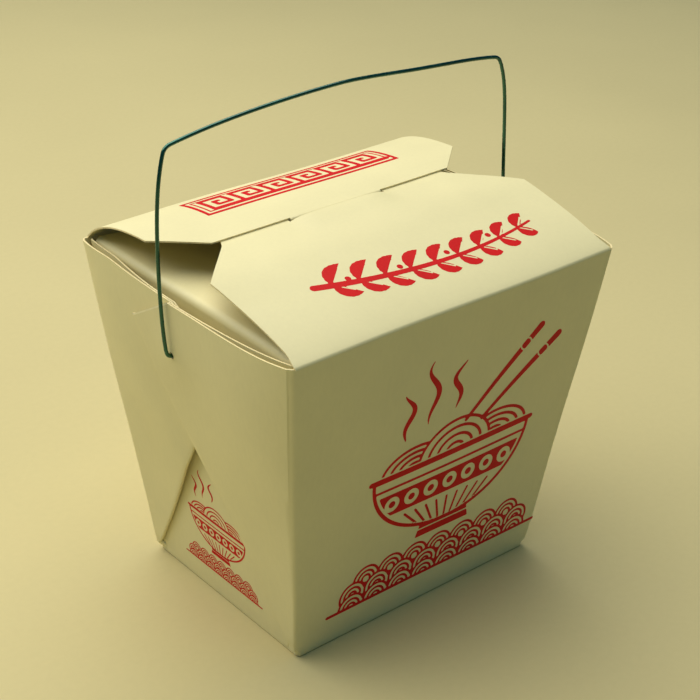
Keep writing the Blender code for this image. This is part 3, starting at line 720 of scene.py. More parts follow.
def add_front_flap(bm, wall_top):
    stations = [along(FRONT_STRIP, FRONT_BEND * i / FOLD_STEPS, 0) for i in range(1, FOLD_STEPS + 1)]
    first = stations[-1][1]
    ys = [mix(first, FRONT_FLAP_SHOULDER_Y, i / FLAP_STEPS) for i in range(1, FLAP_STEPS + 1)]
    ys += [mix(FRONT_FLAP_SHOULDER_Y, SLIT_LIP, i / NOSE_STEPS) for i in range(1, NOSE_STEPS + 1)]
    slit_row = FOLD_STEPS + len(ys)
    end = SLIT_LIP + FRONT_FLAP_OVERLAP
    ys += [mix(SLIT_BACK, end, i / SPREAD_STEPS) for i in range(SPREAD_STEPS + 1)]
    stations += [along(FRONT_STRIP, y, 1) for y in ys]

    rows = [wall_top]
    for _, y, z, angle in stations:
        half = front_flap_width(y)
        offset = flap_normal(angle, 1) * HALF_CARD
        xs = [column_x(column, SLIT_HALF_WIDTH, half) for column in FLAP_COLUMNS]
        rows.append(add_row(bm, [Vector((x, y, z + lip_raise(x, y))) for x in xs], [offset] * len(xs)))

    every = range(len(FLAP_COLUMNS) - 1)
    for number, (low, high) in enumerate(zip(rows, rows[1:])):
        slit = INNER_SEGMENTS if number == slit_row else ()
        join_rows(bm, low, high, [i for i in every if i not in slit])
    close_ends(bm, rows, 0)
    close_ends(bm, rows, -1)
    close_edge(bm, rows[-1], every)
    lips = rows[slit_row : slit_row + 2]
    for row in lips:
        close_edge(bm, row, INNER_SEGMENTS)
    for column in (INNER_SEGMENTS.start, INNER_SEGMENTS.stop):
        close_ends(bm, lips, column)


def add_dust_flap(bm, wall_top, side):
    tilt = math.pi / 2 + SIDE_TAPER
    heading, bend = fold_heading(tilt, DUST_FLAP_FOLD_RADIUS, dust_flap_heading)
    start = (-side_wall_x(DUST_FOLD_START), DUST_FOLD_START)
    profile = strip(heading, bend + DUST_FLAP_LENGTH, start)
    distances = [bend * i / FOLD_STEPS for i in range(1, FOLD_STEPS + 1)]
    distances += [bend + DUST_FLAP_LENGTH * i / DUST_FLAP_STEPS for i in range(1, DUST_FLAP_STEPS + 1)]
    wall_half = abs(wall_top[0][0].co.y)

    rows = [wall_top]
    for s in distances:
        _, inward, z, angle = along(profile, s, 0)
        t = max(0.0, (s - bend) / DUST_FLAP_LENGTH)
        half = mix(wall_half, DUST_FLAP_END_WIDTH / 2, t**DUST_FLAP_TAPER_POWER)
        offset = Vector((side * math.sin(angle), 0.0, math.cos(angle))) * HALF_CARD
        count = len(wall_top[0])
        ys = [mix(-half, half, i / (count - 1)) * side for i in range(count)]
        rows.append(add_row(bm, [Vector((-side * inward, y, z)) for y in ys], [offset] * count))
    close_edge(bm, rows[-1], join_flap(bm, rows))


def base_rows(bm):
    """The rows of the fold round the bottom, from the bottom up to the plain corners."""
    plain = section(BASE_CORNER_HEIGHT)
    steps = outward(plain)
    inner_radius = BASE_FOLD_RADIUS - CARD
    rows = []
    for i in range(BASE_FOLD_STEPS):
        angle = math.pi / 2 * i / BASE_FOLD_STEPS
        rise, inset = 1 - math.cos(angle), 1 - math.sin(angle)
        skins = []
        for radius, side, floor in ((BASE_FOLD_RADIUS, 1, 0.0), (inner_radius, -1, CARD)):
            move = side * HALF_CARD - radius * inset
            z = floor + radius * rise
            points = [(x + n[0] * move, y + n[1] * move, z) for (x, y), n in zip(plain, steps)]
            skins.append([bm.verts.new(point) for point in points])
        rows.append(tuple(skins))
    return rows


def wall_rows(bm):
    """The rows from the plain corners up to the rim, each column up to its own top."""
    tops = section_tops()
    sections = {}

    def at(z, column):
        key = round(z, 7)
        if key not in sections:
            points = section(z)
            steps = outward(points) * HALF_CARD * np.array(section_thickness(z))[:, None]
            sections[key] = points, steps
        points, steps = sections[key]
        return Vector((*points[column], z)), Vector((*steps[column], 0.0))

    steps = range(WEB_START_STEPS)
    start = [mix(BASE_CORNER_HEIGHT, WEB_START_HEIGHT, i / WEB_START_STEPS) for i in steps]
    heights = [[z] * len(tops) for z in start]
    for i in range(WALL_STEPS + 1):
        heights.append([mix(WEB_START_HEIGHT, top, i / WALL_STEPS) for top in tops])
    # A row just under the rim: the band where the cut edges take the lighter material with its painted
    # highlight
    heights.insert(-1, [top - HIGHLIGHT_BAND for top in tops])
    rows = []
    for row in heights:
        pairs = [at(z, column) for column, z in enumerate(row)]
        rows.append(add_row(bm, [m for m, _ in pairs], [o for _, o in pairs]))
    return rows


def rubbed_highlight_segments(size, start):
    """The segments of both front corners from one column to the end of the turn at the crease, painted
    lighter: rubbed coating and a painted highlight.
    """
    end = CORNER_STEPS + len(WEB_FRACTIONS) - 1 + TURN_STEPS
    right = len(FLAP_COLUMNS) - 1
    segments = {right + k for k in range(start, end)}
    return segments | {size - k - 1 for k in range(start, end)}


def carton_mesh():
    bm = bmesh.new()
    rows = base_rows(bm) + wall_rows(bm)
    size = len(rows[0][0])
    # The webs' crease turns, and their cut edges along the top band, take the lighter material: rubbed
    # coating and a painted highlight
    folds = rubbed_highlight_segments(size, CORNER_STEPS + len(WEB_FRACTIONS) - 1)
    cuts = rubbed_highlight_segments(size, CORNER_STEPS + WEB_RIM_STEPS)
    for low, high in zip(rows, rows[1:]):
        join_rows(bm, low, high, range(size), closed=True, rubbed_highlight=cuts if high is rows[-1] else folds)
    bm.faces.new(rows[0][0])
    bm.faces.new(rows[0][1])

    wall = len(FLAP_COLUMNS)
    corner = len(corner_tops())
    side = SIDE_STEPS + 1
    right = wall + corner - 2
    left = right + side - 1 + 2 * (corner - 1) + wall - 1
    top = rows[-1]
    flaps = [range(0, wall - 1), range(right, right + side - 1), range(left, left + side - 1)]
    free = [i for i in range(size) if not any(i in flap for flap in flaps)]
    close_edge(bm, top, free, closed=True)
    add_front_flap(bm, part_of(top, 0, wall))
    add_dust_flap(bm, part_of(top, right, side), 1)
    add_dust_flap(bm, part_of(top, left, side), -1)
    return finish_mesh(bm, "carton_card")


# The rear flap


def lid_width(inward):
    """Half the lid's width at a place along it."""
    if inward < LID_SHOULDER_DEPTH:
        return mix(LID_HINGE_WIDTH, LID_WIDTH, smooth(inward / LID_SPREAD_DEPTH)) / 2
    t = (inward - LID_SHOULDER_DEPTH) / (LID_DEPTH - LID_SHOULDER_DEPTH)
    return mix(LID_WIDTH, LID_NOSE_WIDTH, t) / 2


def tongue_stations():
    """The tongue's side view: it bends down, then follows a circle round the hinge."""
    turn, radius, start = tongue_bend()
    outward_angle = math.atan2(turn.y, turn.x)
    bend = start + math.pi / 2 - outward_angle
    stations = []
    for i in range(1, FOLD_STEPS + 1):
        angle = start - bend * i / FOLD_STEPS
        point = turn + TONGUE_BEND_RADIUS * Vector((-math.sin(angle), math.cos(angle)))
        stations.append((point, angle, 0.0))
    for i in range(1, TONGUE_STEPS + 1):
        t = i / TONGUE_STEPS
        around = outward_angle - t * TONGUE_LENGTH / radius
        point = radius * Vector((math.cos(around), math.sin(around)))
        stations.append((point, around - math.pi / 2, t))
    return stations


def lid_mesh():
    bm = bmesh.new()
    depths = [mix(LID_START, LID_SPREAD_DEPTH, i / SPREAD_STEPS) for i in range(SPREAD_STEPS)]
    depths += [mix(LID_SPREAD_DEPTH, LID_SHOULDER_DEPTH, i / FLAP_STEPS) for i in range(FLAP_STEPS)]
    depths += [mix(LID_SHOULDER_DEPTH, LID_DEPTH, i / NOSE_STEPS) for i in range(NOSE_STEPS + 1)]
    rows = []
    for depth in depths:
        _, inward, up, angle = along(LID_STRIP, depth, 1)
        offset = flap_normal(angle, -1) * HALF_CARD
        xs = [column_x(c, TONGUE_WIDTH / 2, lid_width(inward)) for c in FLAP_COLUMNS]
        rows.append(add_row(bm, [HINGE + Vector((x, -inward, up)) for x in xs], [offset] * len(xs)))
    every = join_flap(bm, rows)
    close_edge(bm, rows[0], every)
    close_edge(bm, rows[-1], [i for i in every if i not in INNER_SEGMENTS])

    columns = range(-INNER_STEPS, INNER_STEPS + 1)
    tongue = [part_of(rows[-1], INNER_SEGMENTS.start, len(columns))]
    for point, angle, t in tongue_stations():
        half = mix(TONGUE_WIDTH, TONGUE_TIP_WIDTH, t**TONGUE_TAPER_POWER) / 2
        offset = flap_normal(angle, -1) * HALF_CARD
        middles = [HINGE + Vector((half * i / INNER_STEPS, -point.x, point.y)) for i in columns]
        tongue.append(add_row(bm, middles, [offset] * len(middles)))
    close_edge(bm, tongue[-1], join_flap(bm, tongue))
    return finish_mesh(bm, "rear_flap_card")


def crease_mesh():
    """The card bent round the hinge's axis, between the rear wall and the lid."""
    bm = bmesh.new()
    half = LID_HINGE_WIDTH / 2 - CARD
    rings = []
    for i in range(CREASE_STEPS + 1):
        middle = HINGE + Vector((mix(-half, half, i / CREASE_STEPS), 0.0, 0.0))
        turns = [2 * math.pi * k / CREASE_SIDES for k in range(CREASE_SIDES)]
        around = [HALF_CARD * Vector((0.0, math.cos(turn), math.sin(turn))) for turn in turns]
        rings.append([bm.verts.new(middle + step) for step in around])
    for low, high in zip(rings, rings[1:]):
        for k in range(CREASE_SIDES):
            j = (k + 1) % CREASE_SIDES
            bm.faces.new((low[k], low[j], high[j], high[k]))
    bm.faces.new(rings[0])
    bm.faces.new(rings[-1])
    return finish_mesh(bm, "rear_flap_crease")


# The wire


def rounded(before, corner, after, radius):
    """The arc that rounds a corner of a path."""
    here = Vector(corner)
    a = (Vector(before) - here).normalized()
    b = (Vector(after) - here).normalized()
    opening = a.angle(b)
    centre = here + (a + b).normalized() * radius / math.sin(opening / 2)
    start = here + a * radius / math.tan(opening / 2) - centre
    end = here + b * radius / math.tan(opening / 2) - centre
    return [centre + start.lerp(end, i / BEND_STEPS).normalized() * radius for i in range(BEND_STEPS + 1)]


def bail_half(leg_bow, leg_skew, leg_power, grip_sag):
    """One half, from the hook's end to the middle of the grip: (outward, height over the holes)."""
    hook_x = side_wall_x(HOLES.z) - HALF_CARD - HOOK_INSET
    foot_x, shoulder_x = BAIL_FOOT_WIDTH / 2, BAIL_SHOULDER_WIDTH / 2
    corners = [(hook_x, HOOK_LENGTH), (hook_x, 0.0), (foot_x, 0.0)]
    for i in range(1, LEG_STEPS + 1):
        t = i / LEG_STEPS
        bow = leg_bow * math.sin(math.pi * t**leg_skew)
        corners.append((mix(foot_x, shoulder_x, t**leg_power) + bow, BAIL_SHOULDER_HEIGHT * t))
    shoulder = len(corners) - 1
    for i in range(1, GRIP_STEPS + 1):
        out = 1.0 - i / GRIP_STEPS
        rise = BAIL_ARCH * (1.0 - out**BAIL_ARCH_POWER)
        sag = grip_sag * max(0.0, math.sin(math.pi * out)) ** GRIP_SAG_POWER
        corners.append((shoulder_x * out, BAIL_SHOULDER_HEIGHT + rise - sag))
    radii = {1: BAIL_FOOT_RADIUS, 2: BAIL_FOOT_RADIUS, shoulder: BAIL_BEND_RADIUS}
    path = []
    for i, corner in enumerate(corners):
        path += rounded(*corners[i - 1 : i + 2], radii[i]) if i in radii else [Vector(corner)]
    return path


def bail_curve():
    left = bail_half(LEFT_LEG_BOW, LEFT_LEG_SKEW, LEFT_LEG_POWER, LEFT_GRIP_SAG)
    right = bail_half(RIGHT_LEG_BOW, RIGHT_LEG_SKEW, RIGHT_LEG_POWER, RIGHT_GRIP_SAG)
    path = [Vector((-p.x, p.y)) for p in left] + right[-2::-1]
    curve = bpy.data.curves.new("bail_wire", "CURVE")
    curve.dimensions = "3D"
    curve.bevel_depth = WIRE / 2
    curve.bevel_resolution = WIRE_SIDES_RESOLUTION
    curve.use_fill_caps = True
    spline = curve.splines.new("POLY")
    spline.points.add(len(path) - 1)
    for point, bend in zip(spline.points, path):
        point.co = (bend.x, 0.0, bend.y, 1.0)
    return curve


# Surfaces that carry ink: each gives the card's middle and its outward normal at a place on it


def front_wall(x, z):
    normal = Vector((0.0, -math.cos(END_TAPER), -math.sin(END_TAPER)))
    return Vector((x, -end_wall_y(z), z)), normal


def side_wall(side):
    normal = Vector((side * math.cos(SIDE_TAPER), 0.0, -math.sin(SIDE_TAPER)))
    return lambda y, z: (Vector((side * side_wall_x(z), side * y, z)), normal)


def front_flap(x, y):
    _, _, z, angle = along(FRONT_STRIP, y, 1)
    return Vector((x, y, z + lip_raise(x, y))), flap_normal(angle, 1)


def rear_flap(x, y):
    _, _, up, angle = along(LID_STRIP, HINGE.y - y, 1)
    return Vector((x, y, HINGE.z + up)), flap_normal(angle, -1)


# Fields of ink: at every place of a grid, in millimetres, the distance to the edge of a shape. It is
# negative inside the shape.


def join(*fields):
    return np.minimum.reduce(fields)


def both(*fields):
    return np.maximum.reduce(fields)


def cut(field, *others):
    return np.maximum(field, -join(*others))


def outline(field, width):
    return np.abs(field) - width / 2


def moved(at, origin, scale=1.0):
    """The grid as seen from a drawing that is scaled and put down at an origin."""
    return (at[0] - origin[0]) / scale, (at[1] - origin[1]) / scale


def stroke(at, points, widths):
    """A line through points, with its own width at each of them."""
    u, v = at
    field = np.full(u.shape, FAR)
    for a, b, start, end in zip(points, points[1:], widths, widths[1:]):
        du, dv = b[0] - a[0], b[1] - a[1]
        t = np.clip(((u - a[0]) * du + (v - a[1]) * dv) / (du * du + dv * dv), 0.0, 1.0)
        away = np.hypot(u - a[0] - t * du, v - a[1] - t * dv)
        field = np.minimum(field, away - mix(start, end, t) / 2)
    return field


def line(at, points, width):
    return stroke(at, points, [width] * len(points))


def brush(at, points, width, tip=0.3):
    """A stroke that swells to its width and thins out again."""
    last = len(points) - 1
    widths = [mix(tip, width, math.sin(math.pi * i / last)) for i in range(last + 1)]
    return stroke(at, points, widths)


def ellipse(at, centre, a, b):
    u, v = at[0] - centre[0], at[1] - centre[1]
    level = np.hypot(u / a, v / b)
    slope = np.maximum(1e-6, np.hypot(u / a**2, v / b**2))
    return level * (level - 1.0) / slope


def disc(at, centre, radius):
    return ellipse(at, centre, radius, radius)


def above(at, height):
    return height - at[1]


def below(at, height):
    return at[1] - height


def box(at, left, right, low, high):
    return both(left - at[0], at[0] - right, low - at[1], at[1] - high)


def bent(a, b, c, steps=12):
    """Points of a curve from a to c that is drawn towards b."""
    points = []
    for i in range(steps + 1):
        t = i / steps
        points.append(tuple(mix(mix(p, q, t), mix(q, r, t), t) for p, q, r in zip(a, b, c)))
    return points


# The drawings, each round its own origin
BOWL_PLACE = (0.0, 43.5)


def bowl(at):
    """A footed bowl with its rim at 0, heaped with noodles."""
    radius, depth, wall = 30.0, 25.0, 1.2
    body = both(ellipse(at, (0.0, 0.0), radius, depth), below(at, 0.0))
    inside = body + wall
    field = join(cut(body, inside), both(inside, outline(at[1] + 4.3, 0.9)))

    # A band of ringed beads
    band_top, band_foot, bead_pitch = -6.5, -14.5, 7.2
    band = both(inside + 0.9, below(at, band_top), above(at, band_foot))
    beads = [(bead_pitch * i, (band_top + band_foot) / 2) for i in range(-3, 4)]
    rings = [disc(at, bead, 2.7) for bead in beads]
    pips = [disc(at, bead, 1.2) for bead in beads]
    field = join(field, cut(band, *rings), both(band, join(*pips)))

    # Ribs that spread upwards, and a foot with a light line across it
    rib_pitch, rib_width, foot_top, foot_end = 4.0, 0.8, -23.6, -28.2
    ribs = [line(at, [(0.55 * u, -24.0), (u, -16.5)], rib_width) for u in np.arange(-16.0, 17.0, rib_pitch)]
    foot = both(np.abs(at[0]) - 10.0 + 0.25 * (at[1] + 27.5), below(at, foot_top), above(at, foot_end))
    field = join(field, both(join(*ribs), inside + 0.4), foot)
    field = cut(field, outline(at[1] + 25.4, 0.5))

    # Heaps of noodles, each of loops inside one another: its centre and its half sizes
    heaps = [((-15.0, 0.0), 12.0, 7.5), ((15.5, 0.0), 12.5, 8.0), ((0.0, 0.0), 13.5, 11.0)]
    loop_width, loops = 1.0, 4
    noodles = np.full(at[0].shape, FAR)
    for centre, a, b in heaps:
        noodles = cut(noodles, ellipse(at, centre, a, b))
        for k in range(loops):
            size = 1 - k / loops
            noodles = join(noodles, outline(ellipse(at, centre, a * size, b * size), loop_width))
    noodles = both(noodles, above(at, 1.4))
    rim = line(at, [(-radius - 0.6, 0.0), (radius + 0.6, 0.0)], 1.7)
    return join(field, noodles, rim)


def chopsticks(at):
    """Two sticks that lean to the right out of the bowl, each with a light ring near its top."""
    sticks = []
    for foot, top in (((3.0, 9.5), (27.5, 33.0)), ((9.5, 7.6), (35.5, 27.5))):
        stick = stroke(at, [foot, top], [1.3, 2.5])
        ringed = [mix(a, b, 0.8) for a, b in zip(foot, top)]
        sticks.append(cut(stick, outline(disc(at, ringed, 1.9), 0.5)))
    return join(*sticks)


def steam(at):
    """Three wavering plumes."""
    plumes = []
    for u, low, high, sway in ((-20.0, 11.0, 27.0, 1.7), (-11.5, 14.0, 35.0, 2.1), (-2.0, 15.5, 31.0, 1.8)):
        points = []
        for i in range(25):
            t = i / 24
            points.append((u + sway * math.sin(7.5 * t + 0.15 * u) * (0.4 + t), mix(low, high, t)))
        plumes.append(brush(at, points, 1.9))
    return join(*plumes)


def waves(at, half, rows):
    """Rows of scallops, the lower ones in front, with a plain line under them."""
    radius, rise, inset, gap = 4.6, 4.2, 2.3, 0.4
    pitch = 2 * radius
    field = np.full(at[0].shape, FAR)
    for row in reversed(range(rows)):
        count = int(2 * (half - radius - inset * row) / pitch)
        for i in range(count + 1):
            centre = ((i - count / 2) * pitch, rise * row)
            field = cut(field, disc(at, centre, radius + gap))
            for arc in (radius, 3.0, 1.5):
                field = join(field, outline(disc(at, centre, arc), 0.8))
    field = both(field, above(at, 0.0))
    return join(field, line(at, [(-half, 0.0), (half, 0.0)], 1.1))


def meal(at, half, rows):
    """A steaming bowl above a band of waves, 80 mm high."""
    at_bowl = moved(at, BOWL_PLACE)
    return join(waves(at, half, rows), bowl(at_bowl), steam(at_bowl))


def wall_drawing(at):
    at = moved(at, (5.5, 10.5))
    return join(meal(at, 41.0, 3), chopsticks(moved(at, BOWL_PLACE)))


def side_drawing(at):
    scale = 0.46
    return meal(moved(at, (0.0, 8.5), scale), 41.0, 3) * scale


def sprig_drawing(at):
    """A long twig with leaves to both sides and berries at its joints."""
    steps = 28
    twig = bent((-34.0, -27.0), (4.0, -37.0), (42.0, -29.5), steps)
    field = stroke(at, twig, [mix(2.3, 0.8, i / steps) for i in range(steps + 1)])
    for i in range(2, steps, 3):
        u, v = twig[i]
        for side in (-1.0, 1.0):
            length = (9.6 if side > 0 else 7.6) * (1.0 - 0.012 * i)
            tip = (u + 0.8 * length, v + side * 0.75 * length)
            way = (u + 0.1 * length, v + side * 0.62 * length)
            leaf = brush(at, bent((u, v), way, tip, 8), 3.9, 0.2)
            vein = line(at, [(u, v), (mix(u, tip[0], 0.75), mix(v, tip[1], 0.7))], 0.5)
            field = join(field, cut(leaf, vein))
        if i % 2:
            field = join(field, disc(at, (u - 2.6, v + 2.3), 0.9))
    return field


def fret_drawing(at):
    """A long panel of squared spirals inside a thick and a thin frame."""
    left, low, length, depth = -33.0, 20.8, 70.0, 15.0
    panel = box(at, left, left + length, low, low + depth)
    field = join(cut(panel, panel + 1.2), cut(panel + 2.1, panel + 2.7))
    pitch, width, foot = 10.6, 1.45, low + 3.4
    spiral = [(0, 0), (0, 8.2), (7.6, 8.2), (7.6, 2.4), (3.2, 2.4), (3.2, 5.4), (4.8, 5.4)]
    for i in range(6):
        u = left + 4.6 + pitch * i
        turns = line(at, [(u + a, foot + b) for a, b in spiral], width)
        field = join(field, turns, line(at, [(u, foot), (u + pitch, foot)], width))
    return both(field, panel)


def ink_sheet(name, drawing, bounds, cell, surface):
    """A drawing as a thin closed sheet of ink on a surface."""
    left, right, low, high = bounds
    us = np.arange(left, right + cell, cell)
    vs = np.arange(low, high + cell, cell)
    field = drawing(np.meshgrid(us, vs, indexing="ij"))
    field[0], field[-1], field[:, 0], field[:, -1] = FAR, FAR, FAR, FAR
    inked = field < 0.0
    bm = bmesh.new()
    pairs = {}

    def pair(key, u, v):
        if key not in pairs:
            middle, normal = surface(u * MM, v * MM)
            foot = middle + normal * (HALF_CARD + INK_GAP)
            pairs[key] = [bm.verts.new(warped(p)) for p in (foot + normal * INK_THICKNESS, foot)]
        return pairs[key]

    def crossing(a, b):
        a, b = sorted((a, b))
        t = field[a] / (field[a] - field[b])
        t = min(1.0 - CROSSING_MARGIN, max(CROSSING_MARGIN, t))
        return pair((a, b), mix(us[a[0]], us[b[0]], t), mix(vs[a[1]], vs[b[1]], t))

    some = inked[:-1, :-1] | inked[1:, :-1] | inked[1:, 1:] | inked[:-1, 1:]
    for i, j in np.argwhere(some).tolist():
        ring = ((i, j), (i + 1, j), (i + 1, j + 1), (i, j + 1))
        corners = []
        for a, b in zip(ring, ring[1:] + ring[:1]):
            if inked[a]:
                corners.append((pair(a, us[a[0]], vs[a[1]]), False))
            if inked[a] != inked[b]:
                corners.append((crossing(a, b), True))
        bm.faces.new([skins[0] for skins, _ in corners])
        bm.faces.new([skins[1] for skins, _ in reversed(corners)])
        for (a, a_crosses), (b, b_crosses) in zip(corners, corners[1:] + corners[:1]):
            if a_crosses and b_crosses:
                bm.faces.new((a[0], a[1], b[1], b[0]))
    return finish_mesh(bm, name)


def near(reach, *steps):
    """1 at a place, and less with the steps away from it."""
    return math.exp(-sum(step**2 for step in steps) / reach**2)


def warped(point):
    """A place on true card, as the card really lies."""
    x, y, z = point
    rise = smooth(z / WARP_START_HEIGHT)
    top = smooth((z - TOP_WARP_START) / TOP_WARP_RISE)
    side = smooth((abs(x) - SIDE_START) / SIDE_RISE)
    # Slow waves, each with its own length, in millimetres
    u, v, w = (value / MM for value in point)
    dx = -0.4 * math.sin(v / 11.0 + w / 17.0) * rise
    dy = math.sin(u / 13.5 + w / 14.0 + 1.1) * rise
    dz = 0.7 * math.sin(u / 14.0 + 0.6) * math.cos(v / 18.0) * top
    lift = LIFT * near(LIFT_REACH, x - LIFT_PLACE.x, y - LIFT_PLACE.y) * top
    bulge = math.copysign(HOLE_BULGE * near(HOLE_BULGE_REACH, y, z - HOLES.z) * side, x)
    dent = RIM_DENT * near(RIM_DENT_REACH, y, z - RIM_DENT_HEIGHT) * side if x > 0.0 else 0.0
    rear = smooth((y - REAR_START) / REAR_RISE)
    rightward = mix(REAR_HOLLOW_LEFT, 1.0, smooth(x / REAR_HOLLOW_RUN + 0.5))
    hollow = REAR_HOLLOW * rightward * near(REAR_HOLLOW_REACH, z - REAR_HOLLOW_HEIGHT) * rear
    return Vector(point) + WARP * Vector((dx, dy, dz)) + Vector((bulge - dent, -hollow, lift))


def warp(mesh):
    for vertex in mesh.vertices:
        vertex.co = warped(vertex.co)
    return mesh


# Each print: its drawing, its bounds and cell in millimetres, its surface and its body
WALL_BOUNDS = (-38.0, 50.0, 8.0, 91.0)
SIDE_BOUNDS = (-22.0, 22.0, 7.0, 47.0)
FRONT_FLAP_BOUNDS = (-38.0, 46.0, -46.0, -16.0)
REAR_FLAP_BOUNDS = (-35.0, 39.0, 19.0, 37.5)
PRINTS = {
    "front_wall_print": (wall_drawing, WALL_BOUNDS, WALL_PRINT_CELL, front_wall, "carton"),
    "left_side_print": (side_drawing, SIDE_BOUNDS, SIDE_PRINT_CELL, side_wall(-1), "carton"),
    "right_side_print": (side_drawing, SIDE_BOUNDS, SIDE_PRINT_CELL, side_wall(1), "carton"),
    "front_flap_print": (sprig_drawing, FRONT_FLAP_BOUNDS, FLAP_PRINT_CELL, front_flap, "carton"),
    "rear_flap_print": (fret_drawing, REAR_FLAP_BOUNDS, FLAP_PRINT_CELL, rear_flap, "rear_lid_flap"),
}


# Materials. Nearly all of a noise's own values lie in this span.
NOISE_LOW, NOISE_HIGH = 0.3, 0.7


class Paint:
    """A material while its nodes are put together."""

    def __init__(self, name, **values):
        self.made = bpy.data.materials.new(name)
        self.made.use_nodes = True
        self.nodes, self.links = self.made.node_tree.nodes, self.made.node_tree.links
        self.shader = self.nodes["Principled BSDF"]
        for key, value in values.items():
            self.shader.inputs[key.replace("_", " ")].default_value = value

    def add(self, kind, sources=(), **values):
        """A node with its inputs, by name or number, linked to their sources or set to values."""
        node = self.nodes.new(kind)
        for key, value in values.items():
            if hasattr(node, key):
                setattr(node, key, value)
            else:
                node.inputs[key.replace("_", " ")].default_value = value
        for key, source in dict(sources).items():
            if isinstance(source, float):
                node.inputs[key].default_value = source
            else:
                self.links.new(source, node.inputs[key])
        return node

    def drive(self, socket, source):
        self.links.new(source, self.shader.inputs[socket])

    def place_on_piece(self):
        return self.add("ShaderNodeTexCoord").outputs["Object"]

    def noise(self, scale, low, high, detail=3.0, stretch=None):
        """Noise in the piece's own coordinates, spread from low to high."""
        source = self.place_on_piece()
        if stretch:
            source = self.add("ShaderNodeMapping", {"Vector": source}, Scale=stretch).outputs["Vector"]
        noise = self.add("ShaderNodeTexNoise", {"Vector": source}, Scale=scale, Detail=detail)
        span = {"From_Min": NOISE_LOW, "From_Max": NOISE_HIGH, "To_Min": low, "To_Max": high}
        return self.add("ShaderNodeMapRange", {"Value": noise.outputs["Fac"]}, **span).outputs["Result"]

    def calculate(self, operation, a, b):
        return self.add("ShaderNodeMath", {0: a, 1: b}, operation=operation).outputs["Value"]

    def specks(self, scale, size, kept_share, strength):
        """The strength inside small spots, of which only a share are kept, and 0 elsewhere."""
        cells = self.add("ShaderNodeTexVoronoi", {"Vector": self.place_on_piece()}, Scale=scale)
        split = self.add("ShaderNodeSeparateColor", {"Color": cells.outputs["Color"]})
        spot = self.calculate("LESS_THAN", cells.outputs["Distance"], size)
        kept = self.calculate("LESS_THAN", split.outputs["Red"], kept_share)
        return self.calculate("MULTIPLY", self.calculate("MULTIPLY", spot, kept), strength)

    def colour(self, colour, factors, dirt=None):
        """A colour made lighter or darker by one or two factors, with the dirt taken off."""
        shade = self.calculate("MULTIPLY", *factors) if len(factors) > 1 else factors[0]
        if dirt is not None:
            shade = self.calculate("SUBTRACT", shade, dirt)
        made = self.add("ShaderNodeVectorMath", {"Scale": shade}, operation="SCALE")
        made.inputs[0].default_value = colour
        self.drive("Base Color", made.outputs["Vector"])

    def roughen(self, height, strength, distance):
        bump = self.add("ShaderNodeBump", {"Height": height}, Strength=strength, Distance=distance)
        self.drive("Normal", bump.outputs["Normal"])


def card_material():
    """Clay-coated card: cream, hardly mottled, with a faint grain and a few brown specks."""
    card = Paint("card", Specular_IOR_Level=0.35)
    fibre = card.noise(900.0, 0.985, 1.01, detail=4.0, stretch=(1.0, 1.0, 0.35))
    dirt = card.specks(scale=70.0, size=0.018, kept_share=0.16, strength=0.55)
    card.colour((0.84, 0.745, 0.39), [card.noise(38.0, 0.965, 1.02), fibre], dirt)
    card.drive("Roughness", card.noise(60.0, 0.46, 0.58))
    card.roughen(card.noise(1300.0, 0.0, 1.0), strength=0.10, distance=0.06 * MM)
    return card.made


def edge_material():
    """The cut through the card: paler, rough and fibrous."""
    edge = Paint("card_edge", Roughness=0.9)
    shade = edge.noise(1500.0, 0.86, 1.08, detail=4.0)
    edge.colour((0.88, 0.73, 0.37), [shade])
    edge.roughen(shade, strength=0.3, distance=0.1 * MM)
    return edge.made


def rubbed_highlight_material():
    """The card painted lighter along folds and cut edges: its coating rubbed, and a painted highlight along
    them.
    """
    rubbed_highlight = Paint("card_rubbed_highlight", Roughness=0.8)
    rubbed_highlight.colour((0.98, 0.89, 0.56), [rubbed_highlight.noise(260.0, 0.88, 1.04, detail=4.0)])
    return rubbed_highlight.made


def ink_material():
    """Flat red ink, a little uneven where the card took it."""
    ink = Paint("ink", Roughness=0.5, Specular_IOR_Level=0.12)
    fine = ink.noise(1500.0, 0.95, 1.03, detail=4.0)
    ink.colour((0.66, 0.007, 0.006), [ink.noise(90.0, 0.93, 1.05), fine])
    return ink.made


def wire_material():
    """Thin steel wire with a dark green lacquer that shows fine drawing marks."""
    wire = Paint("wire", Metallic=0.8, Coat_Weight=0.8, Coat_Roughness=0.06)
    wire.colour((0.008, 0.09, 0.05), [wire.noise(260.0, 0.7, 1.3, stretch=(0.3, 1.0, 0.3))])
    wire.drive("Roughness", wire.noise(700.0, 0.18, 0.32))
    return wire.made


def floor_material():
    """Paper, all but plain: hardly mottled, with a few specks smaller than 1 mm."""
    floor = Paint("floor", Roughness=0.8)
    fine = floor.noise(420.0, 0.988, 1.01, detail=4.0)
    dirt = floor.specks(scale=26.0, size=0.012, kept_share=0.16, strength=0.4)
    floor.colour((0.64, 0.54, 0.25), [floor.noise(7.0, 0.975, 1.025), fine], dirt)
    return floor.made


# The scene


def place(name, mesh, materials, body=None):
    """The mesh as a piece, each face keeping its number in the list of materials."""
    made = add_object(name, mesh)
    numbers = [face.material_index for face in mesh.polygons]
    mesh.materials.clear()
    for material in materials:
        mesh.materials.append(material)
    mesh.polygons.foreach_set("material_index", numbers)
    if body:
        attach(made, body)
    return made


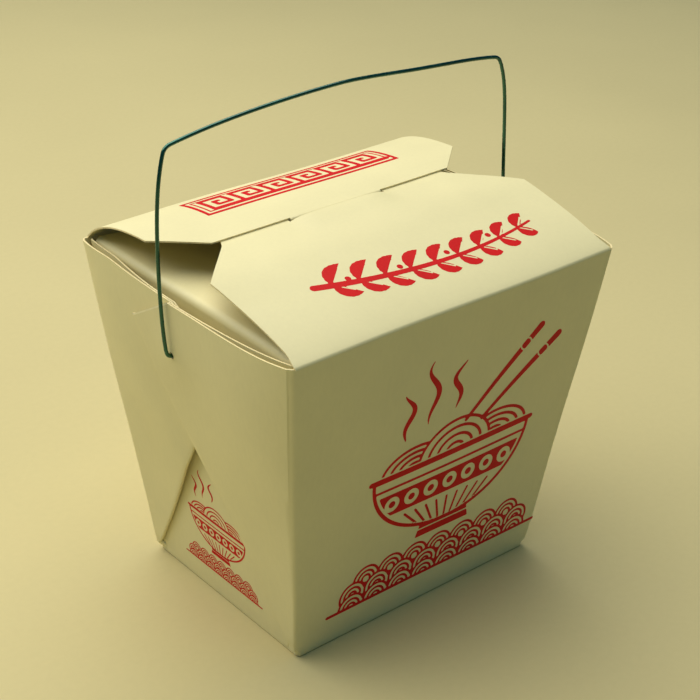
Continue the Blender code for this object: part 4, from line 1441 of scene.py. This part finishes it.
def drilled(mesh):
    """The mesh with the bail's hole through both side walls and all the plies of their webs."""
    target = add_object("drilled", mesh)
    bm = bmesh.new()
    size = {"radius1": HOLE / 2, "radius2": HOLE / 2, "depth": SPARE * TOP_LENGTH}
    bmesh.ops.create_cone(bm, cap_ends=True, segments=HOLE_SIDES, **size)
    for face in bm.faces:
        face.material_index = CUT_EDGE
    cutter = add_object("cutter", finish_mesh(bm, "cutter"))
    cutter.matrix_world = Matrix.Translation(HOLES) @ Matrix.Rotation(math.pi / 2, 4, "Y")
    hole = target.modifiers.new("hole", "BOOLEAN")
    hole.operation = "DIFFERENCE"
    hole.solver = "EXACT"
    hole.object = cutter
    graph = bpy.context.evaluated_depsgraph_get()
    made = bpy.data.meshes.new_from_object(target.evaluated_get(graph))
    bpy.data.objects.remove(target)
    bpy.data.objects.remove(cutter)
    made.name = mesh.name
    return made


def soften(mesh):
    mesh.shade_smooth()
    mesh.set_sharp_from_angle(angle=math.radians(SHARP_ANGLE))
    return mesh


def add_camera():
    camera = add_object("camera", bpy.data.cameras.new("camera"))
    camera.data.sensor_width = SENSOR
    camera.data.lens = LENS
    azimuth, elevation, roll = map(math.radians, (CAMERA_AZIMUTH, CAMERA_ELEVATION, CAMERA_ROLL))
    level = Vector((math.sin(azimuth), -math.cos(azimuth), 0.0))
    back = math.cos(elevation) * level + Vector((0.0, 0.0, math.sin(elevation)))
    right = Vector((0.0, 0.0, 1.0)).cross(back).normalized()
    up = back.cross(right)
    turned_right = math.cos(roll) * right + math.sin(roll) * up
    turned_up = math.cos(roll) * up - math.sin(roll) * right
    turn = Matrix((turned_right, turned_up, back)).transposed().to_4x4()
    camera.matrix_world = Matrix.Translation(CAMERA_TARGET + back * CAMERA_DISTANCE) @ turn
    bpy.context.scene.camera = camera


def add_lamp():
    lamp = add_object("key", bpy.data.lights.new("key", "AREA"))
    lamp.data.shape = "DISK"
    lamp.data.size = LAMP_SIZE
    lamp.data.energy = LAMP_POWER
    lamp.data.color = LAMP_COLOUR
    lamp.location = LAMP_PLACE
    lamp.rotation_mode = "QUATERNION"
    lamp.rotation_quaternion = (LAMP_PLACE - LAMP_AIM).to_track_quat("Z", "Y")


def add_floor():
    bm = bmesh.new()
    bmesh.ops.create_grid(bm, x_segments=1, y_segments=1, size=FLOOR_REACH)
    floor = place("floor", finish_mesh(bm, "floor"), [floor_material()])


def add_world():
    world = bpy.data.worlds.new("room")
    world.use_nodes = True
    background = world.node_tree.nodes["Background"]
    background.inputs["Color"].default_value = ROOM_COLOUR
    background.inputs["Strength"].default_value = ROOM_STRENGTH
    bpy.context.scene.world = world


def build():
    # The third material paints the folds and cut edges lighter: rubbed coating and a painted highlight
    card, edge, rubbed_highlight = card_material(), edge_material(), rubbed_highlight_material()
    shell = soften(drilled(warp(carton_mesh())))
    carton = place("carton_card", shell, [card, edge, rubbed_highlight], "carton")
    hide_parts("carton")
    lid = place("rear_flap_card", soften(warp(lid_mesh())), [card, edge], "rear_lid_flap")
    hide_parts("rear_lid_flap")
    place("rear_flap_crease", soften(warp(crease_mesh())), [card], "rear_lid_flap")
    bail = add_object("bail_wire", bail_curve())
    bail.data.materials.append(wire_material())
    bail.matrix_world = Matrix.Translation(HOLES) @ Matrix.Rotation(-math.radians(BAIL_LEAN), 4, "X")
    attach(bail, "wire_bail")
    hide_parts("wire_bail")
    ink = ink_material()
    for name, (drawing, bounds, cell, surface, body) in PRINTS.items():
        place(name, ink_sheet(name, drawing, bounds, cell, surface), [ink], body)


bpy.context.scene.view_settings.view_transform = "Standard"
build()
add_floor()
add_camera()
add_lamp()
add_world()
